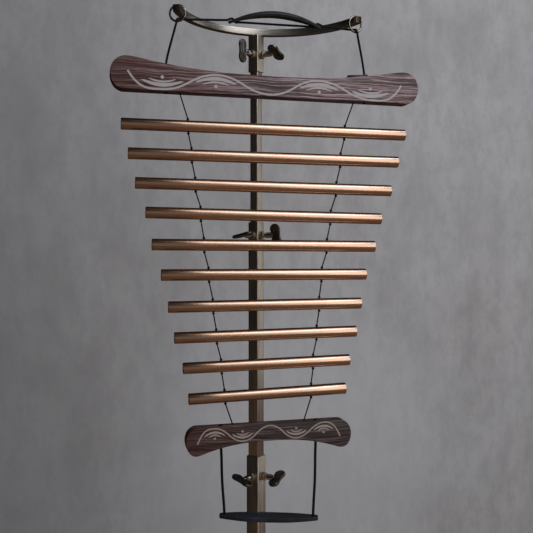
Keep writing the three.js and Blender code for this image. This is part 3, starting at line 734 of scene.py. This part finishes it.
inlay_thickness, inlay_depth = 0.44, 0.1
top_wave = [(-196.5, 25.6, -1.7), (-150, 2.2, 0), (-75, 25.6, 0), (0, 2.6, 0)]
top_wave += [(69.5, 25.8, 0), (150, 2.4, 0), (193.5, 25.8, 1.8)]
inlay(
    "top_bar", top_bar_place, top_wave, 2.6, ((-150, 1), (-76.5, -1), (70.7, -1), (146.7, 1)),
    ((29, 14.2, 0, 8.6, 3.6), (19, 14.1, 2.2, 5, 2.4)), (14.2, 4.4, 2.4),
    "grey", ((152, 143, 143), (186, 177, 176)),
)
bottom_wave = [(-102.7, -22.4, 2.6), (-78.5, -1.8, 0), (-39, -21.4, 0), (0, -1.9, 0)]
bottom_wave += [(37, -21.4, 0), (78.5, -1.9, 0), (101.6, -23, -2.6)]
inlay(
    "bottom_bar", bottom_bar_place, bottom_wave, 1.9,
    ((-78.5, -1), (-39.5, 1), (37.5, 1), (77.5, -1)),
    ((15, -11.7, 0.4, 6.6, 3.4), (9, -11.7, 1.9, 4, 1.8)), (-11.8, 4, 1.7),
    "beige", ((140, 124, 113), (172, 154, 142)),
)

# Bow: a square steel bar bent flat to an arc, brushed along its length, and notched across the
# top near each end for a ring. It is welded on the sleeve.
brushed = Finish("brushed_bow", {"Metallic": 1.0})
spot = brushed.place()
outward = spot.axis("Y") + bow_radius / 1000
around = brushed.node("ShaderNodeCombineXYZ", {}, {0: spot.axis("X"), 1: outward})
reach = brushed.node("ShaderNodeVectorMath", {"operation": "LENGTH"}, {0: around}, "Value")
turned = spot.axis("X").math("ARCTAN2", outward)
lengthwise = {0: turned * 2, 1: reach * 700, 2: spot.axis("Z") * 700}
lines = brushed.node("ShaderNodeCombineXYZ", {}, lengthwise)
brush = brushed.noise(lines, 3, 4, 0.6)
bow_colour = brushed.mix(brush.ramp(0.3, 0.7), (140, 133, 124), (184, 178, 170))
# The bow is darker over the last millimetres of each end, past its ring.
cut_end = turned.math("ABSOLUTE").ramp(ring_angle + 0.045, ring_angle + 0.055)
bow_colour = brushed.mix(cut_end, bow_colour, (70, 57, 46))
brushed.look(bow_colour, brush.ramp(0.3, 0.7, 0.26, 0.4))
brushed.relief(brush, 0.00002)

bow_overhang, bow_arris, bow_end_arris = 8, 0.9, 0.6
bow_end = ring_angle + bow_overhang / bow_radius
section = {"size": bow_section / 1000, "rotation": (0, pi / 2, 0)}
bow = primitive(bpy.ops.mesh.primitive_plane_add, "bent_bow", **section)
bake()
pick(bow, "VERT")
bpy.ops.mesh.bevel(offset=bow_arris / 1000, segments=4, affect="VERTICES")
leave()
bow_middle = Vector((0, -bow_radius, bow_height)) / 1000
bow.location = bow_middle + Vector((-sin(bow_end), cos(bow_end), 0)) * bow_radius / 1000
bow.rotation_euler = (0, 0, bow_end)
bake()
pick(bow, "FACE")
bpy.ops.mesh.spin(steps=110, angle=2 * bow_end, center=bow_middle, axis=(0, 0, 1))
weld(bow)
pick(bow, "FACE", lambda face: len(face.verts) > 6)
bpy.ops.mesh.region_to_loop()
bpy.ops.mesh.bevel(offset=bow_end_arris / 1000, segments=2)
leave()
notch_size = (0.0036, 0.02, 0.008)
notches = []
for side in side_names:
    notch = primitive(bpy.ops.mesh.primitive_cube_add, "notch", size=1, scale=notch_size)
    notch.location = (side * ring_reach / 1000, front / 1000, (bow_height + ring_seat + 4) / 1000)
    notch.rotation_euler = (0, 0, -side * ring_angle)
    notches.append(notch)
bore(bow, notches)
settle(bow, brushed, 30)
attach(bow, "yoke")
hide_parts("yoke_bow")

# Rings: two welded rings of bright nickel-plated steel wire. Each is seated in a notch of the
# bow, square to it, and carries the cord that hangs over it.
metal = {"Metallic": 1.0}
nickels = ((118, 112, 104), (150, 143, 134))
nickel, _ = mottled("nickel_ring", metal, even, (260, 3), nickels, 0.35, 0.05, 0.13)
ring_shape = {"major_radius": ring_radius / 1000, "minor_radius": ring_wire / 2000}
ring_shape |= {"major_segments": 72, "minor_segments": 20}
weld_angle, weld_reach, weld_height = 0.9, 1.9, 0.14
weld_spot = Vector((cos(weld_angle), sin(weld_angle), 0)) * ring_radius / 1000
for side, name in side_names.items():
    ring = primitive(bpy.ops.mesh.primitive_torus_add, f"{name}_nickel_ring", **ring_shape)
    pick(ring, "VERT", lambda vert: (vert.co - weld_spot).length < weld_reach / 1000)
    bpy.ops.transform.shrink_fatten(value=weld_height / 1000)
    leave()
    ring.location = Vector((side * ring_reach, front, bow_height + ring_drop)) / 1000
    ring.rotation_euler = (0, pi / 2, -side * ring_angle)
    settle(ring, nickel, 60)
    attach(ring, f"{name}_ring")
    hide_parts(f"{name}_ring")

# Grips and cord tag: thick black leather cut to a leaf with round tips, its edges burnished.
# The upper grip is bent to an arch over the cord, and the lower one hangs flat.


def leather_finish(name, shade):
    finish = Finish(name, {"Specular IOR Level": 0.45})
    pebbles = finish.node(
        "ShaderNodeTexVoronoi", {"feature": "SMOOTH_F1"}, {"Vector": finish.place(), "Scale": 900}
    )
    creases = finish.noise((1, 2.4, 1), 160, 4, 0.62)
    scuffs = finish.noise(even, 38, 3).ramp(0.5, 0.75)
    # Painted shade: the hollows between the pebbles of the grain are darker than their tops.
    colour = finish.mix(pebbles.ramp(0.1, 0.6), shade, [v * 0.6 for v in shade])
    colour = finish.mix(scuffs * creases * 0.6, colour, [v * 1.7 for v in shade])
    finish.look(colour, creases.ramp(0.3, 0.75, 0.42, 0.62))
    finish.relief(pebbles * -0.6 + creases * 0.7, 0.00018)
    return finish


def leaf_columns(length, width, tip):
    """Places along a leaf and its half width there, from its middle to its tip."""
    half, flank = length / 2, width / 2
    reach, side = half - 0.3 * tip, 0.8 * tip
    columns = []
    for k in range(24, 0, -1):
        t = k / 24
        long = reach * (1 - t) ** 3 + 1.65 * half * (1 - t) ** 2 * t + 1.05 * half * (1 - t) * t**2
        wide = side * (1 - t) ** 3 + flank * (3 * (1 - t) ** 2 * t + 3 * (1 - t) * t**2 + t**3)
        columns.append((long, wide))
    columns.append((reach, side))
    columns.append((half - 0.08 * tip, 0.56 * tip))
    columns.append((half, 0.3 * tip))
    return columns


def leather_leaf(name, sizes, lift, rounding, seat, holes, place, finish, body, node):
    length, width, thickness, tip = sizes
    crown, loft, arris = rounding
    columns = leaf_columns(length, width, tip)
    columns = [(-x, w) for x, w in columns[:0:-1]] + columns
    cells = {"x_subdivisions": len(columns) - 1, "y_subdivisions": 10, "size": 1}
    leaf = primitive(bpy.ops.mesh.primitive_grid_add, name, **cells)
    for vert in leaf.data.vertices:
        column = round((vert.co.x + 0.5) * (len(columns) - 1))
        x, half_width = columns[column]
        y = 2 * vert.co.y * half_width
        sag = crown * (2 * y / width) ** 2
        vert.co = Vector((x, y, lift(x) - sag)) / 1000
    wall = leaf.modifiers.new("thickness", "SOLIDIFY")
    wall.thickness, wall.offset, wall.use_even_offset = thickness / 1000, 1, True
    apply_modifiers(leaf)
    for vert in leaf.data.vertices:
        x = vert.co.x * 1000
        if vert.co.z * 1000 > lift(x) + thickness / 2:
            vert.co.z += loft * max(0, 1 - (2.3 * x / length) ** 2) / 1000
    ease = leaf.modifiers.new("edges", "BEVEL")
    ease.width, ease.segments, ease.angle_limit = arris / 1000, 3, radians(50)
    apply_modifiers(leaf)
    drills = []
    for spot, lean in holes:
        drills.append(drill(cord_hole_radius, spot, 16, (0, lean, 0)))
        if seat:
            drills.append(drill(handle_seat_radius, (spot.x, 0, 0), 2 * seat))
    bore(leaf, drills)
    set_at(leaf, place)
    settle(leaf, finish, 42)
    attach(leaf, body)
    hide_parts(node)


slope = atan2(8 * arch_rise * arch_hole, arch_length**2)
upper_leather = leather_finish("upper_grip_leather", (36, 36, 38))
upper_holes = [(arch_point(side, 0, 0), side * slope) for side in side_names]
leather_leaf(
    "leather_upper_grip", (arch_length, 22, arch_thickness, 3), arch_underside,
    (2.4, 2.2, 0.9), 0, upper_holes, arch_place, upper_leather, "upper_grip", "upper_grip",
)
lower_thickness, handle_low_reach, leather_seat_depth, handle_drop = 5, 63, 3, 131
lower_leather = leather_finish("lower_grip_leather", (40, 44, 52))
lower_height = bottom_bar_place.translation.z - handle_drop - lower_thickness
lower_place = placed((0, front, lower_height), -16, "Z")
lower_spots = [Vector((side * handle_low_reach, 0, lower_thickness / 2)) for side in side_names]
leather_leaf(
    "leather_lower_grip", (140, 28, lower_thickness, 6.5), lambda x: 0,
    (1.6, 0.8, 1.8), leather_seat_depth, [(spot, 0) for spot in lower_spots], lower_place,
    lower_leather, "lower_grip", "lower_grip",
)
tag_length, tag_hole, tag_low, tag_high = 31, 10, 32.9, 37.9
tag_middle = (suspension_reach[1] - tag_hole, 0, (tag_low + tag_high) / 2 + clearance)
tag_place = top_bar_place @ Matrix.Translation(tag_middle)
tag_place @= Matrix.Rotation(-atan2(tag_high - tag_low, tag_length), 4, "Y")
leather_leaf(
    "leather_cord_tag", (tag_length, 13, 3, 3), lambda x: 0.0035 * (tag_hole - x) ** 2,
    (0.2, 0, 0.6), 0, [(Vector((tag_hole, 0, 1.2)), 0)], tag_place,
    lower_leather, "top_bar", "cord_tag",
)

# Handle cords: knotted in a shallow seat on the straight edge of the bottom bar, down through it
# and through the lower grip, and knotted in a seat under the leather.
handle_radius, handle_knot_radius, handle_knot_length, knot_turns = 1.9, 3.1, 3.6, 1.6
handle_tie = (handle_radius, handle_knot_radius, handle_knot_length, knot_turns)
for side, name in side_names.items():
    high, low = side * handle_top_reach, side * handle_low_reach
    top_end = bottom_bar_place @ Vector((high, 0, clearance - handle_seat_depth))
    under = bottom_bar_place @ Vector((high, 0, -31))
    through = lower_place @ Vector((low, 0, lower_thickness + clearance))
    below = lower_place @ Vector((low, 0, leather_seat_depth - clearance))
    down = (under - top_end).normalized()
    bow_out = Vector((side * 0.8, 0, 0))
    line = [top_end - down * 3.4, top_end, under, under.lerp(through, 0.12)]
    line += [under.lerp(through, 0.5) + bow_out, under.lerp(through, 0.88)]
    line += [through, below, below + Vector((0, 0, -4))]
    runs = [(eased(line), handle_radius)]
    for spot, heading in ((top_end, -down), (below, Vector((0, 0, -1)))):
        runs.append(knot(spot, heading, *handle_tie))
    handle = strand_piece(f"{name}_handle_braid", runs, cord_finish)
    hinge = under / 1000
    hinge - Vector((0, 0, 0.012))
    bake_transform(handle)
    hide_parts(f"{name}_handle_cord")

# Mast: square steel tubes with a warm bronze-grey plating that slide in one another, turned with
# one corner to the front. A short sleeve of the same tube carries the bow.
plated = Finish("bronze_grey_plating", {"Metallic": 1.0})
pulled = plated.noise((420, 420, 3), 3, 3, 0.6)
clouding = plated.noise((30, 30, 9), 2, 3)
plating = plated.mix(pulled.ramp(0.3, 0.7), (168, 156, 143), (210, 196, 180))
plating = plated.mix(clouding.ramp(0.4, 0.7, 0, 0.5), plating, (138, 127, 113))
plated.look(plating, pulled.ramp(0.3, 0.7, 0.3, 0.42))
plated.relief(pulled, 0.00003)

mast_wall, post_arris = 1.7, 1.6
sleeve_length, upper_showing, mid_showing, overlap = 55, 227, 355, 150
size_step = 2 * (mast_wall + clearance)
upper_size = 13.5
mid_size = upper_size + size_step
lower_size = mid_size + size_step
socket_size = lower_size + size_step
sleeve_top = bow_height - bow_section / 2 - clearance
sleeve_bottom = sleeve_top - sleeve_length
mid_rim = sleeve_bottom - upper_showing
lower_rim = mid_rim - mid_showing
socket_bottom, socket_height, socket_floor = 14, 66, 4


def block(name, length, width, height):
    """A square-edged block centred on the origin."""
    scale = (length / 1000, width / 1000, height / 1000)
    made = primitive(bpy.ops.mesh.primitive_cube_add, name, size=1, scale=scale)
    bake()
    return made


def square_post(name, size, low, high, wall, walled):
    """A post of rounded corners, one to the front, its walls drawn on the ends that are picked."""
    made = block(name, size, size, high - low)
    pick(made, "EDGE", lambda edge: abs(edge.verts[0].co.z - edge.verts[1].co.z) > 0.001)
    bpy.ops.mesh.bevel(offset=post_arris / 1000, segments=5)
    pick(made, "FACE", walled)
    bpy.ops.mesh.inset(thickness=wall / 1000, use_even_offset=True)
    made.location.z = (low + high) / 2000
    made.rotation_euler.z = pi / 4
    return made


def ease_rims(piece, rims, width):
    pick(piece, "FACE", rims)
    bpy.ops.mesh.region_to_loop()
    bpy.ops.mesh.bevel(offset=width / 1000, segments=2)
    leave()


def level(face):
    return abs(face.normal.z) > 0.9


def square_tube(name, size, wall, low, high):
    made = square_post(name, size, low, high, wall, level)
    pick(made, "FACE", lambda face: len(face.verts) > 8)
    bpy.ops.mesh.bridge_edge_loops()
    ease_rims(made, level, 0.3)
    return made


lower_end = socket_bottom + socket_floor + clearance
mast_tubes = (
    ("sleeve", mid_size, sleeve_bottom, sleeve_top, "yoke", "yoke_sleeve"),
    ("upper_mast", upper_size, mid_rim - overlap, sleeve_top - clearance, *["upper_mast"] * 2),
    ("mid_mast", mid_size, lower_rim - overlap, mid_rim, *["mid_mast"] * 2),
    ("lower_mast", lower_size, lower_end, lower_rim, "stand", "lower_mast"),
)
for name, size, low, high, body, node in mast_tubes:
    tube = square_tube(f"{name}_tube", size, mast_wall, low, high)
    settle(tube, plated)
    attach(tube, body)
    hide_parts(node)

# Clamps: on two faces of each collar a short bored boss is welded, and a wing bolt of dark cast
# iron goes through it to pinch the tube inside.
sheen = {"Metallic": 0.9, "Coat Weight": 1.0, "Coat Roughness": 0.08}
iron = Finish("dark_cast_iron", sheen)
casting = iron.noise(even, 900, 4, 0.6)
rubbed = iron.noise(even, 110, 3).ramp(0.5, 0.72)
rust = iron.mix(rubbed, (70, 64, 57), (116, 107, 95))
iron.look(rust, casting.ramp(0.3, 0.7, 0.32, 0.5))
iron.relief(casting, 0.00005)

steels = ((176, 172, 164), (214, 210, 204))
steel, _ = mottled("turned_steel", metal, even, (500, 3), steels, 0.3, 0.12, 0.22)

boss_radius, boss_length, bolt_radius, bolt_neck = 6.3, 6, 3, 3.2
hub_radius, hub_length = 4.5, 8.8
wing_length, wing_width, wing_waist, wing_thickness, wing_arris = 35, 17, 14.4, 4.4, 1.5
dish_rim, dish_depth = 1.1, 0.7
clamps = (
    ("sleeve", mid_size, sleeve_top - 29.5, "yoke", {-1: 0, 1: 66}),
    ("mid", mid_size, mid_rim - 20, "mid_mast", {-1: -78, 1: 15}),
    ("lower", lower_size, lower_rim - 30, "stand", {-1: 70, 1: -64}),
)


def wing_outline():
    """Two round lobes with a hollow waist on each side between them."""
    radius = wing_width / 2
    lobe = wing_length / 2 - radius
    sweep = radians(115)
    gate = Vector((lobe + radius * cos(sweep), radius * sin(sweep)))
    right = []
    for k in range(17):
        angle = sweep * (k / 8 - 1)
        right.append(Vector((lobe + radius * cos(angle), radius * sin(angle))))
    dip = Vector((0, wing_waist - gate.y))
    across = []
    for k in range(1, 6):
        t = k / 6
        across.append(gate * (1 - t) ** 2 + dip * 2 * t * (1 - t) + mirrored(gate) * t**2)
    half = right + across
    return half + [point * -1 for point in half]


def wing_bolt(name, start):
    """A bolt along +X: shank, turned hub and a cast wing with a dished middle."""
    wing = cut_out(flat_curve(name, wing_thickness, wing_arris), [wing_outline()])
    weld(wing)
    pick(wing, "FACE", lambda face: abs(face.normal.z) > 0.99)
    bpy.ops.mesh.inset(thickness=dish_rim / 1000, depth=-dish_depth / 1000)
    leave()
    hub_start = start + boss_length + bolt_neck + clearance
    hub_end = hub_start + hub_length
    wing_reach = hub_end + wing_width / 2
    wing.rotation_euler = Matrix(((0, 1, 0), (0, 0, 1), (1, 0, 0))).to_euler()
    wing.location.x = wing_reach / 1000
    bake()
    tip, nose = start - mast_wall, wing_reach - wing_waist / 2
    profile = [(tip, 0), (tip, bolt_radius - 0.5), (tip + 0.5, bolt_radius)]
    profile += [(hub_start, bolt_radius), (hub_start, hub_radius - 0.6)]
    profile += [(hub_start + 0.6, hub_radius), (hub_end - 1.5, hub_radius)]
    profile += [(nose + 2, hub_radius - 1.6), (nose + 3.4, 0)]
    segments = len(profile) - 1
    strip = {"x_subdivisions": segments, "y_subdivisions": 1, "size": 2}
    shank = primitive(bpy.ops.mesh.primitive_grid_add, "shank", **strip)
    pick(shank, "VERT", lambda vert: vert.co.y > 0)
    bpy.ops.mesh.delete(type="VERT")
    leave()
    for vert in shank.data.vertices:
        x, radius = profile[round((vert.co.x + 1) / 2 * segments)]
        vert.co = Vector((x, 0, radius)) / 1000
    pick(shank, "VERT")
    bpy.ops.mesh.spin(steps=32, angle=2 * pi, center=(0, 0, 0), axis=(1, 0, 0))
    weld(shank)
    shank.data.materials.append(steel.material)
    wing.data.materials.clear()
    wing.data.materials.append(iron.material)
    activate(wing)
    shank.select_set(True)
    bpy.ops.object.join()
    return wing


boss_wall = boss_radius - bolt_radius - clearance
for clamp, size, height, body, wing_turns in clamps:
    for side, name in side_names.items():
        face_turn = -pi / 2 + side * pi / 4
        boss_sizes = (boss_radius, boss_wall, boss_length, 40, 0.7)
        boss = pipe(f"{clamp}_{name}_clamp_boss", *boss_sizes)
        boss.location.x = (size / 2 + clearance + boss_length / 2) / 1000
        bake()
        boss.rotation_euler.z = face_turn
        boss.location.z = height / 1000
        settle(boss, plated)
        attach(boss, body)
        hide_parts(f"{clamp}_{name}_boss")
        bolt = wing_bolt(f"{clamp}_{name}_winged_bolt", size / 2)
        bolt.rotation_euler = (radians(wing_turns[side]), 0, face_turn)
        bolt.location.z = height / 1000
        settle(bolt, None, 40)
        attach(bolt, f"{clamp}_{name}_wing_bolt")
        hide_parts(f"{clamp}_{name}_wing_bolt")

# Foot of the stand: a short square socket with a floor, of the mast's plated steel, in which the
# lower mast stands. The four legs are welded to its faces.
leg_size, leg_wall, leg_length, shoe_sole = 16, 1.6, 232, 4
leg_slope = tan(radians(6))
leg_start = socket_size / 2 + clearance
leg_end = leg_start + leg_length
leg_end_height = shoe_sole + clearance + leg_size / 2


def upward(face):
    return face.normal.z > 0.9


socket_top = socket_bottom + socket_height
socket = square_post("foot_socket", socket_size, socket_bottom, socket_top, mast_wall, upward)
pick(socket, "FACE", lambda face: upward(face) and len(face.verts) > 8)
hollow = (0, 0, (socket_floor - socket_height) / 1000)
bpy.ops.mesh.extrude_region_move(TRANSFORM_OT_translate={"value": hollow})
ease_rims(socket, lambda face: upward(face) and face.calc_center_median().z > 0, 0.4)
settle(socket, plated)
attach(socket, "stand")
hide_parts("base_socket")

# Legs and shoes: four square tubes of the same steel run from the socket down to the floor, and
# a moulded black rubber cap with hollowed sides is pushed on the end of each.
dull, blacks = {"Specular IOR Level": 0.3}, ((24, 24, 25), (40, 40, 41))
rubber, mould = mottled("moulded_rubber", dull, even, (700, 3), blacks, 0.3, 0.62, 0.8)
rubber.relief(mould, 0.0001)
shoe_grip, shoe_wall, shoe_height, shoe_arris, side_rim, side_depth = 28, 2.6, 26, 2.2, 2.5, 0.8
shoe_length = shoe_grip + clearance + shoe_wall
pocket_width = leg_size + 2 * clearance
for k, name in enumerate(("front_right", "back_right", "back_left", "front_left")):
    turn = k * pi / 2 - pi / 4
    leg = square_tube(f"{name}_foot_leg", leg_size, leg_wall, leg_start, leg_end)
    leg.rotation_euler = (0, pi / 2, 0)
    leg.location = ((leg_start + leg_end) / 2000, 0, 0)
    bake()
    for vert in leg.data.vertices:
        vert.co.z += (leg_end_height + leg_slope * (leg_end - vert.co.x * 1000)) / 1000
    leg.rotation_euler.z = turn
    settle(leg, plated)
    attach(leg, "stand")
    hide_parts(f"{name}_leg")
    shoe_width = pocket_width + 2 * shoe_wall
    shoe = block(f"{name}_rubber_shoe", shoe_length, shoe_width, shoe_height)
    shoe.location = Vector((leg_end - shoe_grip + shoe_length / 2, 0, shoe_height / 2)) / 1000
    bake()
    pick(shoe, "EDGE")
    bpy.ops.mesh.bevel(offset=shoe_arris / 1000, segments=4)
    pick(shoe, "FACE", lambda face: abs(face.normal.y) > 0.9 and face.calc_area() > 1e-4)
    bpy.ops.mesh.inset(thickness=side_rim / 1000, depth=-side_depth / 1000)
    leave()
    pocket = primitive(bpy.ops.mesh.primitive_cube_add, "pocket", size=1)
    for vert in pocket.data.vertices:
        x = leg_end - shoe_grip - 4 if vert.co.x < 0 else leg_end + clearance
        z = leg_end_height + leg_slope * (leg_end - x) + vert.co.z * pocket_width
        vert.co = Vector((x, vert.co.y * pocket_width, z)) / 1000
    bore(shoe, [pocket])
    shoe.rotation_euler.z = turn
    settle(shoe, rubber, 40)
    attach(shoe, "stand")
    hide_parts(f"{name}_shoe")

# Room: a plain pale floor, a grey plaster wall behind, a tall soft lamp at the right of the
# viewer with a brighter edge on top, and dim ones in front and at the far right. Metal mirrors
# a darker, warmer room than the camera sees, and the wall is clear from behind.
mirror_tint = (1.03, 0.67, 0.47)


def room_finish(name, plain, mirrored_share, others_share, dark_above):
    """A matt stage finish that is darker in mirrors, most above a height of its own, and in
    the light that it throws back."""
    finish = Finish(name, {"Roughness": 0.9, "Specular IOR Level": 0.1})
    seen = finish.node("ShaderNodeLightPath", output="Is Camera Ray")
    glossy = finish.node("ShaderNodeLightPath", output="Is Glossy Ray")
    up = finish.place().axis("Z")
    mirrored = up.ramp(dark_above - 0.4, dark_above + 0.4, mirrored_share, 0.04)
    level = seen * (1 - others_share) + glossy * (mirrored - others_share) + others_share
    shade = {0: plain(finish), "Scale": level}
    dimmed = finish.node("ShaderNodeVectorMath", {"operation": "SCALE"}, shade)
    warm = {0: dimmed, 1: mirror_tint}
    warmed = finish.node("ShaderNodeVectorMath", {"operation": "MULTIPLY"}, warm)
    finish.feed("Base Color", finish.mix(glossy, dimmed, warmed))
    behind = finish.node("ShaderNodeNewGeometry", output="Backfacing")
    solid = Signal(finish, finish.shader.outputs[0])
    clear = finish.node("ShaderNodeBsdfTransparent")
    either = finish.node("ShaderNodeMixShader", {}, {0: behind, 1: solid, 2: clear})
    ends = next(n for n in finish.tree.nodes if n.type == "OUTPUT_MATERIAL")
    finish.put(ends.inputs["Surface"], either)
    return finish.material


def plaster(finish):
    here = finish.place()
    trowel = finish.noise((1, 1, 0.5), 9, 7, 0.62)
    smudge = finish.noise((1, 1, 1.4), 1.6, 4, 0.55)
    tone = finish.mix(trowel.ramp(0.3, 0.7), (170, 164, 162), (189, 183, 181))
    tone = finish.mix(smudge.ramp(0.38, 0.66, 0, 0.5), tone, (188, 184, 185))
    streak = finish.noise((2, 1, 1.1), 13, 6, 0.7)
    tone = finish.mix(streak.ramp(0.42, 0.62, 0, 0.3), tone, (148, 144, 146))
    # Painted light: a broad pool of light, lighter than the plaster, is painted low on the wall a
    # little right of the middle.
    beside, below = here.axis("X") - 0.3, here.axis("Z") + 3.5
    painted_light_pool = (beside * beside + below * below).ramp(0, 0.3, 0.5, 0)
    tone = finish.mix(painted_light_pool, tone, (208, 204, 205))
    # Painted shade: the wall grows darker from a little right of the middle toward its left, away
    # from the lamps at the right.
    return finish.mix(here.axis("X").ramp(-0.55, 0.3, 0.5, 0), tone, (130, 126, 126))


def concrete(finish):
    grit = finish.noise(even, 60, 4)
    return finish.mix(grit, (196, 195, 194), (206, 205, 204))


floor = primitive(bpy.ops.mesh.primitive_plane_add, "floor", size=8)
floor.data.materials.append(room_finish("pale_floor", concrete, 0.45, 0.15, 1))
upright = (pi / 2, 0, 0)
wall = primitive(bpy.ops.mesh.primitive_plane_add, "wall", size=8, rotation=upright)
bake()
wall.location = (0, 0.95, 3.9)
wall.data.materials.append(room_finish("grey_plaster", plaster, 0.12, 0.7, -2.0))

world = bpy.data.worlds.new("room")
world.use_nodes = True
bpy.context.scene.world = world
sky = world.node_tree.nodes["Background"].inputs
sky[0].default_value = (0.94, 0.97, 1, 1)
glance = world.node_tree.nodes.new("ShaderNodeLightPath")
dimming = world.node_tree.nodes.new("ShaderNodeMapRange")
dimming.inputs[3].default_value, dimming.inputs[4].default_value = 0.2, 0.02
world.node_tree.links.new(glance.outputs["Is Glossy Ray"], dimming.inputs[0])
world.node_tree.links.new(dimming.outputs[0], sky[1])


def soft_lamp(name, azimuth, elevation, distance, width, height, radiance, tint=(1, 1, 1)):
    """A soft rectangular lamp that faces the set, placed round it in degrees from the front."""
    lamp = bpy.data.lights.new(name, "AREA")
    lamp.shape, lamp.size, lamp.size_y = "RECTANGLE", width, height
    lamp.energy = radiance * pi * width * height
    lamp.color = tint
    holder = bpy.data.objects.new(name, lamp)
    turn, rise = radians(azimuth), radians(elevation)
    out = Vector((sin(turn) * cos(rise), -cos(turn) * cos(rise), sin(rise)))
    holder.location = Vector((0, -0.09, 1)) + out * distance
    holder.rotation_euler = out.to_track_quat("Z", "Y").to_euler()
    holder.visible_camera = False
    bpy.context.scene.collection.objects.link(holder)


soft_lamp("key", 33, 30, 2.2, 1.65, 3.8, 2.05)
soft_lamp("key_edge", 49, 53, 2.15, 1.9, 0.32, 6, (0.56, 0.76, 1))
soft_lamp("front_glow", -12, 0, 2.4, 1.6, 2.4, 0.17)
soft_lamp("right_glow", 100, 5, 2.4, 1.1, 1.6, 0.8)

bpy.context.scene.view_settings.view_transform = "Standard"
